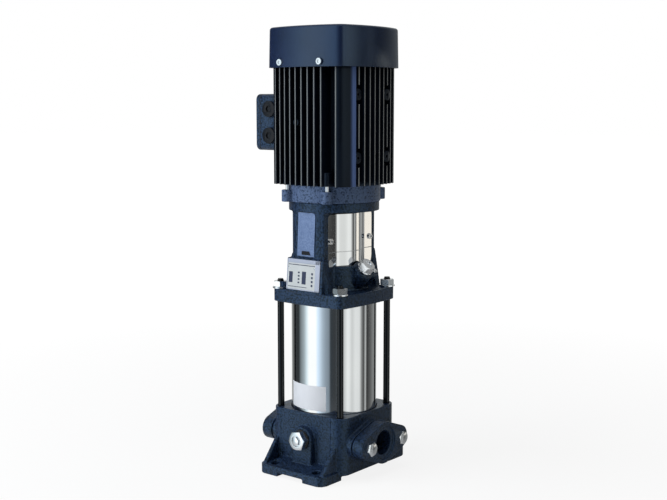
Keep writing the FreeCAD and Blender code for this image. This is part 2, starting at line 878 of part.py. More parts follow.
def motor_stool():
    """Head plate, dome over the stages and the lantern's two legs and ring."""
    plate = bowed_block(plate_half, plate_face_radius, plate_corner, plate_bottom, plate_top)
    column = ring(lantern_radius, lantern_bore, plate_top - 1, ring_bottom)
    window = block(leg_half_width, lantern_radius + 2, -lantern_radius, lantern_radius, plate_top, ring_bottom)
    top_edge = [
        e
        for e in window.Edges
        if e.BoundBox.ZMin > ring_bottom - 0.1 and e.BoundBox.XMax < leg_half_width + 0.1
    ]
    window = window.makeFillet(window_corner, top_edge)
    dome = disc(dome_radius, plate_top - 1, dome_top)
    leg_room = block(-leg_half_width, leg_half_width, -lantern_radius, lantern_radius, plate_top - 1, dome_top)
    tie = ring(lantern_bore + fusion, dome_radius - 2, plate_top - 1, dome_top).common(leg_room)
    rim = ring(ring_radius, lantern_bore, ring_bottom, ring_top)
    vent_start = plug_point(0, vent_offset, vent_drop)
    pieces = [
        plate,
        column.cut(window).cut(spun(window, 180)),
        dome,
        tie,
        rim,
        plate_seat(),
        aimed(disc(plug_boss_radius, 0, plug_boss_length), plug_point(0), plug_axis()),
        aimed(disc(vent_boss_radius, 0, plug_boss_length), vent_start, plug_axis()),
    ]
    inner = guard_flange_reach + bolt_gap
    flare = [
        (leg_half_width - 1, inner, plate_top - fusion),
        (leg_half_width + leg_flare, inner, plate_top - fusion),
        (leg_half_width, inner, plate_top + leg_flare_height),
        (leg_half_width - 1, inner, plate_top + leg_flare_height),
    ]
    corner = prism(flare, (0, leg_flare_face - inner, 0))
    facing = corner.mirror(vec(0, 0, 0), vec(1, 0, 0))
    pieces += [corner, facing, spun(corner, 180), spun(facing, 180)]

    boss_end = 2 * plug_boss_length
    stay_hole = disc(stay_radius + bolt_gap, plate_bottom - 1, plate_top + 1)
    bolt_hole = disc(motor_bolt_radius + bolt_gap, ring_bottom - 1, ring_top + 1)
    bolt_sink = disc(motor_bolt_radius * 2, ring_bottom - 1, ring_bottom + motor_bolt_sink)
    housing_hole = disc(housing_screw_radius + thread_gap, dome_top - housing_screw_bite - 2, dome_top + 1)
    hollows = [
        disc(sleeve_radius + sleeve_gap, plate_bottom - 1, plate_bottom + sleeve_seat_depth),
        disc(dome_radius - dome_wall, plate_bottom, dome_top - dome_wall),
        disc(seal_hole_radius, plate_bottom, dome_top + 1),
        leg_panel(),
        aimed(disc(plug_radius + running_gap, plug_hole_start, boss_end), plug_point(0), plug_axis()),
        aimed(disc(vent_radius + running_gap, plug_hole_start, boss_end), vent_start, plug_axis()),
    ]
    hollows += at_corners(stay_hole, stay_offset, stay_offset)
    hollows += at_corners(bolt_hole, motor_bolt_spot, motor_bolt_spot)
    hollows += at_corners(bolt_sink, motor_bolt_spot, motor_bolt_spot)
    hollows += at_corners(housing_hole, housing_screw_spot, housing_screw_spot)
    for y in (guard_screw_y, -guard_screw_y):
        low = leg_half_width - guard_screw_hole
        hole = rod_x(guard_screw_radius + thread_gap, low, leg_half_width + 1, y, guard_screw_z)
        hollows += [hole, spun(hole, 180)]
    return with_holes(joined(pieces), hollows)


def leg_panel():
    """Shallow panel sunk into the front leg, above the nameplate's seat."""
    low = plate_top + plate_seat_height + 1
    back = -lantern_radius + leg_panel_depth
    return block(-leg_panel_half, leg_panel_half, -lantern_radius - 1, back, low, ring_bottom)


def plate_seat():
    """Block on the front leg whose face leans back, for the nameplate."""
    back = -lantern_bore - 3
    outline = [
        (-plate_seat_half, back, plate_top - fusion),
        (-plate_seat_half, plate_seat_y(plate_top - fusion), plate_top - fusion),
        (-plate_seat_half, -plate_seat_face, plate_top + plate_seat_height),
        (-plate_seat_half, back, plate_top + plate_seat_height),
    ]
    return prism(outline, (2 * plate_seat_half, 0, 0))


def plate_seat_y(z):
    """Place of the leaning face at a height."""
    return -plate_seat_face - plate_seat_lean * (plate_top + plate_seat_height - z) / plate_seat_height


def motor_flange_bolts():
    length = ring_thick - motor_bolt_sink + motor_bolt_bite
    bolt = cap_screw(motor_bolt_radius, length, motor_bolt_radius * 1.8, motor_bolt_head)
    bolt = aimed(bolt, (0, 0, ring_bottom + motor_bolt_sink), (0, 0, -1))
    return at_corners(bolt, motor_bolt_spot, motor_bolt_spot)


def seal_housing():
    spigot = seal_hole_radius - press_gap
    low = dome_top - seal_housing_depth
    hole = disc(housing_screw_radius + screw_gap, dome_top - 1, dome_top + seal_housing_flange + 1)
    profile = [
        (seal_seat_radius, low),
        (spigot, low),
        (spigot, dome_top),
        (seal_housing_radius, dome_top),
        (seal_housing_radius, dome_top + seal_housing_flange),
        (seal_housing_bore, dome_top + seal_housing_flange),
        (seal_housing_bore, seal_face),
        (seal_seat_radius, seal_face),
    ]
    return with_holes(turned(profile), at_corners(hole, housing_screw_spot, housing_screw_spot))


def seal_seat():
    return ring(seal_seat_radius - press_gap, seal_seat_bore, seal_face - seal_seat_thick, seal_face)


def seal_head():
    """Rotating head of the shaft seal, with its narrower face ring on top."""
    high = seal_face - seal_seat_thick - running_gap
    bore = pump_shaft_radius + press_gap
    ring_low = high - seal_ring_height
    profile = [
        (bore, high - seal_head_length),
        (seal_head_radius, high - seal_head_length),
        (seal_head_radius, ring_low),
        (seal_head_radius - seal_ring_step, ring_low),
        (seal_head_radius - seal_ring_step, high),
        (bore, high),
    ]
    return turned(profile)


def seal_housing_screws():
    length = seal_housing_flange + housing_screw_bite
    screw = cap_screw(housing_screw_radius, length, housing_screw_radius * 1.7, housing_screw_radius * 1.5)
    screw = moved(screw, 0, 0, dome_top + seal_housing_flange)
    return at_corners(screw, housing_screw_spot, housing_screw_spot)


def coupling_half():
    """Half shell on the +X side, bored for both shafts and clamped by four screws."""
    room = block(
        coupling_split / 2, coupling_radius, -coupling_radius, coupling_radius, coupling_bottom, coupling_top
    )
    cuts = [
        disc(pump_shaft_radius + press_gap, coupling_bottom - 1, coupling_middle),
        disc(motor_shaft_radius + press_gap, coupling_middle, coupling_top + 1),
        rod_y(coupling_pin_radius + press_gap, -coupling_pin_half, coupling_pin_half, 0, coupling_pin_z),
    ]
    for y in (coupling_screw_offset, -coupling_screw_offset):
        for z in coupling_screw_z:
            cuts.append(rod_x(coupling_screw_radius + press_gap, 0, coupling_radius, y, z))
            cuts.append(rod_x(coupling_screw_radius * 1.8, coupling_screw_seat, coupling_radius, y, z))
    return with_holes(disc(coupling_radius, coupling_bottom, coupling_top).common(room), cuts)


def coupling_pin():
    half = coupling_pin_half - press_gap
    return rod_y(coupling_pin_radius, -half, half, 0, coupling_pin_z)


def coupling_screws():
    head = coupling_screw_radius * 1.6
    screw = cap_screw(coupling_screw_radius, coupling_screw_seat * 2, head, head)
    screws = []
    for y in (coupling_screw_offset, -coupling_screw_offset):
        for z in coupling_screw_z:
            screws.append(aimed(screw, (coupling_screw_seat, y, z), (1, 0, 0)))
    return screws


def pump_shaft():
    shaft = disc(pump_shaft_radius, shaft_foot, coupling_middle - shaft_end_gap)
    reach = 2 * pump_shaft_radius
    return shaft.cut(rod_y(coupling_pin_radius + press_gap, -reach, reach, 0, coupling_pin_z))


def coupling_guard():
    """Guard on the +X window: bulged middle with two flat side flanges."""
    low = dome_top + guard_bottom_gap
    high = ring_bottom - window_corner - guard_top_gap
    face = leg_half_width
    outer = face + guard_sheet
    room = block(face, guard_radius, -guard_radius, guard_radius, low, high)
    bulge = ring(guard_radius, guard_radius - guard_sheet, low, high).common(room)
    inner_edge = sqrt((guard_radius - guard_sheet / 2) ** 2 - face**2)
    flange = block(face, outer, inner_edge, guard_flange_reach, low, high)
    guard = joined([bulge, flange, flange.mirror(vec(0, 0, 0), vec(0, 1, 0))])
    hole = rod_x(guard_screw_radius + screw_gap, face - 1, outer + 1, guard_screw_y, guard_screw_z)
    return with_holes(guard, [hole, hole.mirror(vec(0, 0, 0), vec(0, 1, 0))])


def front_guard():
    """The front guard is notched round the bosses of the plug and the vent screw."""
    reach = 2 * plug_boss_length
    vent_start = plug_point(0, vent_offset, vent_drop)
    notches = [
        aimed(disc(plug_boss_radius + guard_relief, 0, reach), plug_point(0), plug_axis()),
        aimed(disc(vent_boss_radius + guard_relief, 0, reach), vent_start, plug_axis()),
    ]
    return with_holes(coupling_guard(), notches)


def guard_screws():
    head = guard_screw_radius * 1.9
    screw = cap_screw(guard_screw_radius, guard_screw_length, head, guard_screw_radius)
    outer = leg_half_width + guard_sheet
    screws = []
    for side in (1, -1):
        for y in (guard_screw_y, -guard_screw_y):
            screws.append(aimed(screw, (side * outer, y, guard_screw_z), (side, 0, 0)))
    return screws


def priming_plug():
    collar = disc(plug_flats / 2 + plug_collar_edge, 0, plug_collar)
    head = hexagon(plug_flats, plug_collar, plug_collar + plug_head)
    shank = disc(plug_radius, -plug_length, fusion)
    return aimed(joined([collar, head, shank]), plug_point(plug_boss_length), plug_axis())


def vent_screw():
    screw = hex_screw(vent_radius, plug_length, vent_flats, vent_head)
    return aimed(screw, plug_point(plug_boss_length, vent_offset, vent_drop), plug_axis())


def nameplate():
    """Thin plate lying on the slanted seat."""
    low = plate_top + nameplate_rise
    high = low + nameplate_length
    outline = [
        (-nameplate_left, plate_seat_y(low), low),
        (-nameplate_left, plate_seat_y(low) - nameplate_thick, low),
        (-nameplate_left, plate_seat_y(high) - nameplate_thick, high),
        (-nameplate_left, plate_seat_y(high), high),
    ]
    return prism(outline, (nameplate_left + nameplate_right, 0, 0))


def motor_shield():
    """Lower end shield of the motor, with the bearing seat and four lugs."""
    wall = shield_radius - shield_wall
    seat = lower_bearing_radius + press_gap
    seat_wall = seat + lower_seat_wall
    floor = lower_bearing_z
    spigot = lantern_bore - running_gap
    profile = [
        (shaft_passage, ring_top - shield_spigot),
        (spigot, ring_top - shield_spigot),
        (spigot, ring_top),
        (shield_radius, ring_top),
        (shield_radius, stator_bottom),
        (wall, stator_bottom),
        (wall, floor + shield_floor),
        (seat_wall, floor + shield_floor),
        (seat_wall, floor + lower_bearing_width),
        (seat, floor + lower_bearing_width),
        (seat, floor),
        (shaft_passage, floor),
    ]
    lug = disc(lug_radius, ring_top, ring_top + lug_height)
    room = disc(shield_radius - 2, ring_top - 1, stator_bottom)
    lugs = [piece.cut(room) for piece in at_corners(lug, lug_x, lug_y)]
    screw_hole = disc(lug_screw_radius + bolt_gap, ring_top - 1, stator_bottom + 1)
    screw_sink = disc(lug_screw_head + bolt_gap, ring_top - 1, ring_top + lug_screw_sink)
    bolt_hole = disc(motor_bolt_radius + thread_gap, ring_top - 1, ring_top + motor_bolt_bite + 1)
    cuts = at_corners(screw_hole, lug_x, lug_y) + at_corners(screw_sink, lug_x, lug_y)
    cuts += at_corners(bolt_hole, motor_bolt_spot, motor_bolt_spot)
    return with_holes(joined([turned(profile)] + lugs), cuts)


def shield_screws():
    """Screws that hold the lower shield to the stator housing, through the lugs."""
    length = shield_height - lug_screw_sink + lug_screw_bite
    screw = cap_screw(lug_screw_radius, length, lug_screw_head, lug_screw_head)
    screw = aimed(screw, (0, 0, ring_top + lug_screw_sink), (0, 0, -1))
    return at_corners(screw, lug_x, lug_y)


def stator_housing():
    """Barrel with fins square to its sides, two plain corner panels and the terminal box's pad."""
    low, high = stator_bottom, stator_top
    reach = 2 * fin_face
    pieces = [block(corner_block_left, reach, -reach, -corner_block_inner, low, high)]
    for k in range(-fin_half_count, fin_half_count + 1):
        fin = cooling_fin(k)
        if k != fin_left_out:
            pieces.append(fin)
        pieces.append(spun(fin.cut(side_boss_rooms()) if abs(k) == side_boss_fin else fin, 90))
    for z in side_boss_z:
        pieces += [rod_x(side_boss_radius, stator_bore, side_boss_face, y, z) for y in (side_boss_y, -side_boss_y)]
    web = spun(block(0, reach, -fin_thick, fin_thick, low, high), 45)
    pieces += [web, spun(web, -90)]
    envelope = bowed_block(fin_face, fin_face_radius, fin_corner, low, high)
    inside = [piece.common(envelope) for piece in pieces + [spun(piece, 180) for piece in pieces]]
    inside.append(rod_y(earth_boss_radius, -earth_boss_face, -stator_bore, -fin_pitch, earth_boss_z))
    column_top = low + lug_column_height
    root = block(lug_x - lug_column, lug_x + lug_column, stator_bore - lug_column, lug_y, low, column_top)
    columns = at_corners(disc(lug_column, low, column_top), lug_x, lug_y)
    for foot in (root, root.mirror(vec(0, 0, 0), vec(1, 0, 0))):
        columns += [foot, foot.mirror(vec(0, 0, 0), vec(0, 1, 0))]
    pad_half = box_half_y - box_pad_inset
    pad = block(
        -box_pad_reach,
        -stator_bore - 1,
        -pad_half,
        pad_half,
        box_low + box_pad_inset,
        box_high - box_pad_inset,
    )
    housing = joined([disc(barrel_radius, low, high), pad] + columns + inside)
    cuts = [
        disc(stator_bore, low - 1, high + 1),
        rod_x(wire_way_radius, -box_pad_reach - 1, -stator_bore + 2, 0, box_middle),
        rod_y(side_boss_hole, -earth_boss_face - 1, -barrel_radius, -fin_pitch, earth_boss_z),
    ]
    for z in side_boss_z:
        for y in (side_boss_y, -side_boss_y):
            hole = rod_x(side_boss_hole, barrel_radius, side_boss_face + 1, y, z)
            cuts += [hole, spun(hole, 180)]
    screw_hole = disc(lug_screw_radius + thread_gap, low - 1, low + lug_screw_bite + 1)
    return with_holes(housing, cuts + at_corners(screw_hole, lug_x, lug_y))


def cooling_fin(k):
    """Fin of the -Y side, from the diagonal outwards."""
    middle = k * fin_pitch
    half = fin_thick / 2
    return block(middle - half, middle + half, -2 * fin_face, -abs(middle), stator_bottom, stator_top)


def side_boss_rooms():
    """Gaps left in the fins that run through the side bosses."""
    reach = 2 * fin_face
    rooms = [block(-reach, reach, -reach, -barrel_radius, z - side_boss_room, z + side_boss_room) for z in side_boss_z]
    return Part.makeCompound(rooms)


def stator_core():
    return ring(core_radius, core_bore, core_low, core_low + core_height)


def stator_windings():
    outer = core_radius - winding_inset
    inner = outer - winding_wall
    profile = [
        (inner, 0),
        (outer, 0),
        (outer, winding_height - winding_chamfer),
        (outer - winding_chamfer, winding_height),
        (inner + winding_chamfer, winding_height),
        (inner, winding_height - winding_chamfer),
    ]
    head = turned(profile)
    upper = moved(head, 0, 0, core_low + core_height)
    lower = moved(head.mirror(vec(0, 0, 0), vec(0, 0, 1)), 0, 0, core_low)
    return [upper, lower]


def rotor_core():
    low = core_low - rotor_overhang
    high = core_low + core_height + rotor_overhang
    return ring(core_bore - rotor_gap, rotor_bore + press_gap, low, high)


def motor_shaft():
    low = coupling_middle + shaft_end_gap
    high = fan_bottom + fan_height - fan_shaft_inset
    shoulder_low = lower_bearing_z + lower_bearing_width
    land_high = upper_bearing_z + upper_bearing_width + bearing_land
    profile = [
        (0, low),
        (motor_shaft_radius, low),
        (motor_shaft_radius, lower_bearing_z - bearing_land),
        (lower_bearing_bore, lower_bearing_z - bearing_land),
        (lower_bearing_bore, shoulder_low),
        (rotor_bore, shoulder_low),
        (rotor_bore, upper_bearing_z),
        (upper_bearing_bore, upper_bearing_z),
        (upper_bearing_bore, land_high),
        (fan_shaft_radius, land_high),
        (fan_shaft_radius, high),
        (0, high),
    ]
    return turned(profile)


def bearing_rings(bore, radius, width, low):
    """Shielded ball bearing: inner ring, and outer ring with its shields."""
    inner_edge = bore + bearing_ring_wall
    inner = ring(inner_edge, bore + press_gap, low, low + width)
    outer = ring(radius, inner_edge + running_gap, low, low + width)
    return inner, outer


def end_shield():
    """Upper end shield, with ears that carry the fan cover."""
    low = stator_top
    high = low + end_shield_thick
    seat = upper_bearing_radius + press_gap
    seat_wall = seat + upper_seat_wall
    cap = upper_bearing_z + upper_bearing_width
    profile = [
        (seat, upper_bearing_z),
        (seat_wall, upper_bearing_z),
        (seat_wall, low),
        (barrel_radius, low),
        (barrel_radius, high),
        (end_shield_bore, high),
        (end_shield_bore, cap),
        (seat, cap),
    ]
    half = end_shield_ear / 2
    face = cover_inside(cover_screw_x + half)
    ear = block(cover_screw_x - half, cover_screw_x + half, barrel_radius - end_shield_ear_depth, face, low, high)
    hole = rod_y(cover_screw_radius + thread_gap, face - cover_screw_length, face + 1, cover_screw_x, cover_screw_z)
    ears = [ear, ear.mirror(vec(0, 0, 0), vec(1, 0, 0))]
    holes = [hole, hole.mirror(vec(0, 0, 0), vec(1, 0, 0))]
    casting = joined([turned(profile)] + ears + [spun(piece, 180) for piece in ears])
    return with_holes(casting, holes + [spun(piece, 180) for piece in holes])


def cover_inside(x):
    """Distance from the axis to the inside of the fan cover's Y wall, at a place along it."""
    back = cover_face_radius - cover_face
    return sqrt((cover_face_radius - cover_wall - cover_draft) ** 2 - x**2) - back


def cover_outside(x, z):
    lean = cover_draft * (z - stator_top) / cover_height
    back = cover_face_radius - cover_face + lean
    return sqrt(cover_face_radius**2 - x**2) - back


def fan_cover():
    """Drawn hood with a slight draft, a rounded rim and a grille of ring slots."""
    low, high = stator_top, cover_top
    outer = drafted(0, low, high)
    rim = [e for e in outer.Edges if e.BoundBox.ZMin > high - 0.1]
    hood = outer.makeFillet(cover_edge, rim).cut(drafted(cover_wall, low - 1, high - cover_wall))
    step = (grille_radius - grille_hub) / grille_rings
    slots = []
    for k in range(grille_rings):
        inner = grille_hub + k * step
        slots.append(ring(inner + step - grille_land, inner, high - cover_wall - 1, high + 1))
    web = block(-grille_radius, grille_radius, -grille_web / 2, grille_web / 2, high - cover_edge, high + 2)
    webs = [spun(web, 180 / grille_spokes * k) for k in range(grille_spokes)]
    slots = with_holes(Part.makeCompound(slots), webs)
    hole = rod_y(cover_screw_radius + screw_gap, -2 * cover_face, 2 * cover_face, cover_screw_x, cover_screw_z)
    return with_holes(hood, [slots, hole, spun(hole, 180)])


def drafted(inset, low, high):
    foot = bowed_outline(cover_face - inset, cover_face_radius - inset, cover_corner - inset, low)
    top_face = cover_face - inset - cover_draft
    top = bowed_outline(top_face, cover_face_radius - inset, cover_corner - inset, high)
    return Part.makeLoft([foot, top], True)


def fan_cover_screws():
    head = cover_screw_radius * 1.9
    screw = cap_screw(cover_screw_radius, cover_screw_length, head, cover_screw_radius)
    reach = cover_outside(cover_screw_x - head, cover_screw_z)
    return on_both_sides(screw, cover_screw_x, reach, cover_screw_z)


def cooling_fan():
    """Radial fan with straight blades on a disc, so it may turn either way."""
    low = fan_bottom
    high = low + fan_height
    half = fan_blade_thick / 2
    blade = block(fan_hub_radius - 1, fan_radius, -half, half, low, high)
    blades = [spun(blade, 360 / fan_blades * k) for k in range(fan_blades)]
    wheel = joined([disc(fan_hub_radius, low, high), disc(fan_radius, low, low + fan_disc)] + blades)
    return wheel.cut(disc(fan_shaft_radius + press_gap, low - 1, high + 1))


def box_block(reach_low, reach_high, inset):
    """Rounded block of the terminal box between two distances from the axis."""
    half = box_half_y - inset
    solid = block(-reach_high, -reach_low, -half, half, box_low + inset, box_high - inset)
    along = [e for e in solid.Edges if abs(e.Vertexes[0].X - e.Vertexes[1].X) > 1e-6]
    return solid.makeFillet(max(box_corner - inset, 1.0), along)


def box_rods(radius, reach_low, reach_high):
    """Rods along X at the four screws of the box."""
    half = box_half_y - box_screw_inset
    rods = []
    for z in (box_low + box_screw_inset, box_high - box_screw_inset):
        rods += [rod_x(radius, -reach_high, -reach_low, y, z) for y in (half, -half)]
    return rods


def terminal_box():
    lid_joint = box_reach - box_lid - box_gasket
    blank = box_block(box_pad_reach, lid_joint, 0)
    shell = blank.cut(box_block(box_pad_reach + box_wall, lid_joint + 1, box_wall))
    posts = [rod.common(blank) for rod in box_rods(box_post_radius, box_pad_reach, lid_joint)]
    cuts = box_rods(box_screw_radius + thread_gap, lid_joint - box_screw_length, lid_joint + 1)
    for z in entry_z:
        cuts.append(rod_y(entry_radius + thread_gap, -box_half_y - 1, -box_half_y + box_wall + 1, -entry_x, z))
    cuts.append(rod_x(wire_way_radius, -box_pad_reach - box_wall - 1, -box_pad_reach + 1, 0, box_middle))
    return with_holes(joined([shell] + posts), cuts)


def terminal_box_gasket():
    inner = box_reach - box_lid - box_gasket
    seal = box_block(inner, box_reach - box_lid, screw_gap).cut(box_block(inner - 1, box_reach, box_wall))
    return with_holes(seal, box_rods(box_post_radius + fusion, inner - 1, box_reach))


def terminal_box_lid():
    inner = box_reach - box_lid
    blank = box_block(inner, box_reach, 0)
    edges = [e for e in blank.Edges if e.BoundBox.XMax < -box_reach + 0.1]
    lid = blank.makeChamfer(box_lid_edge, edges)
    cuts = [box_block(inner - 1, box_reach - box_lid_skin, box_lid_land)]
    cuts += box_rods(box_screw_radius + screw_gap, inner - 1, box_reach + 1)
    cuts += box_rods(box_screw_radius * 2.1, box_reach - box_lid_skin, box_reach + 1)
    return with_holes(lid, cuts)


def terminal_box_screws():
    screw = cap_screw(box_screw_radius, box_screw_length, box_screw_radius * 1.9, box_screw_radius)
    half = box_half_y - box_screw_inset
    seat = -box_reach + box_lid_skin
    screws = []
    for z in (box_low + box_screw_inset, box_high - box_screw_inset):
        screws += [aimed(screw, (seat, y, z), (-1, 0, 0)) for y in (half, -half)]
    return screws


def entry_plugs():
    """Blind plugs in the two cable entries, on the -Y side of the box."""
    body = joined([disc(entry_cap_radius, 0, entry_cap), disc(entry_radius, -box_wall - 2, fusion)])
    body = body.cut(hexagon(entry_socket, entry_cap / 2, entry_cap + 1))
    return [aimed(body, (-entry_x, -box_half_y, z), (0, -1, 0)) for z in entry_z]


def terminal_board():
    low = box_pad_reach + box_wall
    high = low + board_thick
    board = block(-high, -low, -board_half, board_half, box_middle - board_half, box_middle + board_half)
    board = board.cut(rod_x(wire_way_radius, -high - 1, -low + 1, 0, box_middle))
    studs = []
    for z in (box_middle - terminal_step_z / 2, box_middle + terminal_step_z / 2):
        for y in (-terminal_step_y, 0, terminal_step_y):
            studs.append(rod_x(terminal_radius, -high - terminal_length, -high + 1, y, z))
    return joined([board] + studs)


def build():
    lower_inner, lower_outer = bearing_rings(
        lower_bearing_bore, lower_bearing_radius, lower_bearing_width, lower_bearing_z
    )
    upper_inner, upper_outer = bearing_rings(
        upper_bearing_bore, upper_bearing_radius, upper_bearing_width, upper_bearing_z
    )
    discharge = port_flange()
    half_a = coupling_half()
    return {
        "pump_base": pump_base(),
        "discharge_flange": discharge,
        "suction_flange": spun(discharge, 180),
        "flange_gaskets": flange_gaskets(),
        "flange_bolts": flange_bolts(),
        "drain_plug": drain_plug(),
        "drain_gasket": drain_gasket(),
        "bypass_screw": bypass_screw(),
        "outer_sleeve": outer_sleeve(),
        "sleeve_seals": sleeve_seals(),
        "inlet_guide": inlet_guide(),
        "stage_chambers": stage_chambers(),
        "neck_rings": neck_rings(),
        "top_chamber": top_chamber(),
        "shaft_bush": shaft_bush(),
        "chamber_straps": chamber_straps(),
        "pump_shaft": pump_shaft(),
        "impellers": impellers(),
        "impeller_spacers": impeller_spacers(),
        "shaft_nut": shaft_nut(),
        "stay_bolts": stay_bolts(),
        "stay_washers": stay_washers(),
        "stay_nuts": stay_nuts(),
        "motor_stool": motor_stool(),
        "seal_housing": seal_housing(),
        "seal_housing_screws": seal_housing_screws(),
        "seal_seat": seal_seat(),
        "seal_rotating_head": seal_head(),
        "priming_plug": priming_plug(),
        "vent_screw": vent_screw(),
        "nameplate": nameplate(),
        "coupling_half_a": half_a,
        "coupling_half_b": spun(half_a, 180),
        "coupling_pin": coupling_pin(),
        "coupling_screws": coupling_screws(),
        "coupling_guard_front": front_guard(),
        "coupling_guard_rear": spun(coupling_guard(), 180),
        "guard_screws": guard_screws(),
        "motor_flange_bolts": motor_flange_bolts(),
        "motor_shield": motor_shield(),
        "shield_screws": shield_screws(),
        "lower_bearing_outer": lower_outer,
        "lower_bearing_inner": lower_inner,
        "stator_housing": stator_housing(),
        "stator_core": stator_core(),
        "stator_windings": stator_windings(),
        "rotor_core": rotor_core(),
        "motor_shaft": motor_shaft(),
        "end_shield": end_shield(),
        "upper_bearing_outer": upper_outer,
        "upper_bearing_inner": upper_inner,
        "cooling_fan": cooling_fan(),
        "fan_cover": fan_cover(),
        "fan_cover_screws": fan_cover_screws(),
        "terminal_box": terminal_box(),
        "terminal_box_gasket": terminal_box_gasket(),
        "terminal_box_lid": terminal_box_lid(),
        "terminal_box_screws": terminal_box_screws(),
        "entry_plugs": entry_plugs(),
        "terminal_board": terminal_board(),
    }


def main():
    os.makedirs("parts", exist_ok=True)
    for name, shape in build().items():
        piece = Part.makeCompound(shape) if isinstance(shape, list) else shape
        piece.exportStep(f"parts/{name}.step")
        low, high = piece.BoundBox.ZMin, piece.BoundBox.ZMax
        state = "ok" if piece.isValid() else "INVALID"
        volume = piece.Volume / 1000
        print(f"{name:22s} {len(piece.Solids):2d} solids {volume:9.1f} cm3 z {low:6.1f} to {high:6.1f} {state}")


main()
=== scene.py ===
import bmesh
import bpy
import json
from math import cos, pi, radians, sin, sqrt, tan
from mathutils import Matrix, Vector


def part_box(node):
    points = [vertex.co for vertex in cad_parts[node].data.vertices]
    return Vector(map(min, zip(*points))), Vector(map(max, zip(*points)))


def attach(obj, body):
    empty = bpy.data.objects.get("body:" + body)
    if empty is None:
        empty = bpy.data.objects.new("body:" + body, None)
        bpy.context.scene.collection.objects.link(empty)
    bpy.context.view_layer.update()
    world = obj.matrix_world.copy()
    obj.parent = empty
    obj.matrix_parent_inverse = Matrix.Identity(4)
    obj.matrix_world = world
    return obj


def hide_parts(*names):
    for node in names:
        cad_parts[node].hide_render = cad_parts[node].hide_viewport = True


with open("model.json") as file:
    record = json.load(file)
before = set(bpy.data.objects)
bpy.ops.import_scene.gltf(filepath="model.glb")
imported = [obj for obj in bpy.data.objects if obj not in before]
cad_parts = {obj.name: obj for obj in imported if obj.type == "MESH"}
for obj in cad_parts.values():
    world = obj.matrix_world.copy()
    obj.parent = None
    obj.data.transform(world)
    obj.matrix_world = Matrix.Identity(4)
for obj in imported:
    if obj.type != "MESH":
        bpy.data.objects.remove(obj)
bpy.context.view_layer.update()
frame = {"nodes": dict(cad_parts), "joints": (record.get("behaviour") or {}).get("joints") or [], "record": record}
bodies = frame["record"]["behaviour"]["bodies"]
nodeBody = {node: body for body, nodes in bodies.items() for node in nodes}
nodeSlot = {part["node"]: part["material_slot"] for part in frame["record"]["subparts"]}
scene = bpy.context.scene
mm = 0.001
print("frame loaded:", len(frame["nodes"]), "nodes")

# camera, fitted to the photograph
camera = {
    "azimuth": 38.74,  # degrees round from -Y towards +X
    "distance": 1.5558,
    "height": 0.4996,
    "heading": 38.77,
    "pitch": 7.28,  # degrees looking down
    "focalPixels": 1144.8,
    "imageWidth": 667,
    "sensor": 36.0,
}


def roundPoint(azimuth, distance, height):
    turn = radians(azimuth)
    return Vector((sin(turn) * distance, -cos(turn) * distance, height))


def makeCamera(values):
    data = bpy.data.cameras.new("photoCamera")
    data.sensor_width = values["sensor"]
    data.lens = values["focalPixels"] / values["imageWidth"] * values["sensor"]
    eye = bpy.data.objects.new("photoCamera", data)
    eye.location = roundPoint(values["azimuth"], values["distance"], values["height"])
    eye.rotation_euler = (radians(90 - values["pitch"]), 0, radians(values["heading"]))
    scene.collection.objects.link(eye)
    scene.camera = eye


makeCamera(camera)


# shader helpers
def newMaterial(name):
    material = bpy.data.materials.new(name)
    material.use_nodes = True
    tree = material.node_tree
    tree.nodes.clear()
    output = tree.nodes.new("ShaderNodeOutputMaterial")
    shader = tree.nodes.new("ShaderNodeBsdfPrincipled")
    tree.links.new(shader.outputs["BSDF"], output.inputs["Surface"])
    return material, tree, shader


def setInputs(node, values):
    for label, value in values.items():
        node.inputs[label].default_value = value
    return node


def newGroup(name, inputs, outputs):
    group = bpy.data.node_groups.new(name, "ShaderNodeTree")
    for label, value in inputs.items():
        socket = group.interface.new_socket(label, in_out="INPUT", socket_type="NodeSocketFloat")
        socket.default_value = value
    for label in outputs:
        group.interface.new_socket(label, in_out="OUTPUT", socket_type="NodeSocketFloat")
    return group, group.nodes.new("NodeGroupInput"), group.nodes.new("NodeGroupOutput")


def addGroup(tree, group, values):
    node = tree.nodes.new("ShaderNodeGroup")
    node.node_tree = group
    return setInputs(node, values)


def mathNode(tree, operation, first, second=None):
    node = tree.nodes.new("ShaderNodeMath")
    node.operation = operation
    for index, value in enumerate((first, second)):
        if value is None:
            continue
        if isinstance(value, (int, float)):
            node.inputs[index].default_value = value
        else:
            tree.links.new(value, node.inputs[index])
    return node.outputs[0]


def product(tree, first, *others):
    for other in others:
        first = mathNode(tree, "MULTIPLY", first, other)
    return first


def clamped(tree, value):
    return mathNode(tree, "MINIMUM", mathNode(tree, "MAXIMUM", value, 0.0), 1.0)


def noiseNode(tree, coordinate, scale, detail=2.0, roughness=0.5):
    node = tree.nodes.new("ShaderNodeTexNoise")
    tree.links.new(coordinate, node.inputs["Vector"])
    setInputs(node, {"Detail": detail, "Roughness": roughness})
    if isinstance(scale, (int, float)):
        node.inputs["Scale"].default_value = scale
    else:
        tree.links.new(scale, node.inputs["Scale"])
    return node.outputs["Fac"]


def mixColour(tree, factor, first, second):
    node = tree.nodes.new("ShaderNodeMix")
    node.data_type = "RGBA"
    tree.links.new(factor, node.inputs["Factor"])
    for socket, value in ((node.inputs["A"], first), (node.inputs["B"], second)):
        if isinstance(value, (tuple, list)):
            socket.default_value = (*value, 1.0)
        else:
            tree.links.new(value, socket)
    return node.outputs["Result"]


def spanNode(tree, value, given=(0.0, 1.0), wanted=(0.0, 1.0), blend="LINEAR"):
    node = tree.nodes.new("ShaderNodeMapRange")
    node.interpolation_type = blend
    ends = {"From Min": given[0], "From Max": given[1], "To Min": wanted[0], "To Max": wanted[1]}
    setInputs(node, ends)
    tree.links.new(value, node.inputs["Value"])
    return node.outputs["Result"]


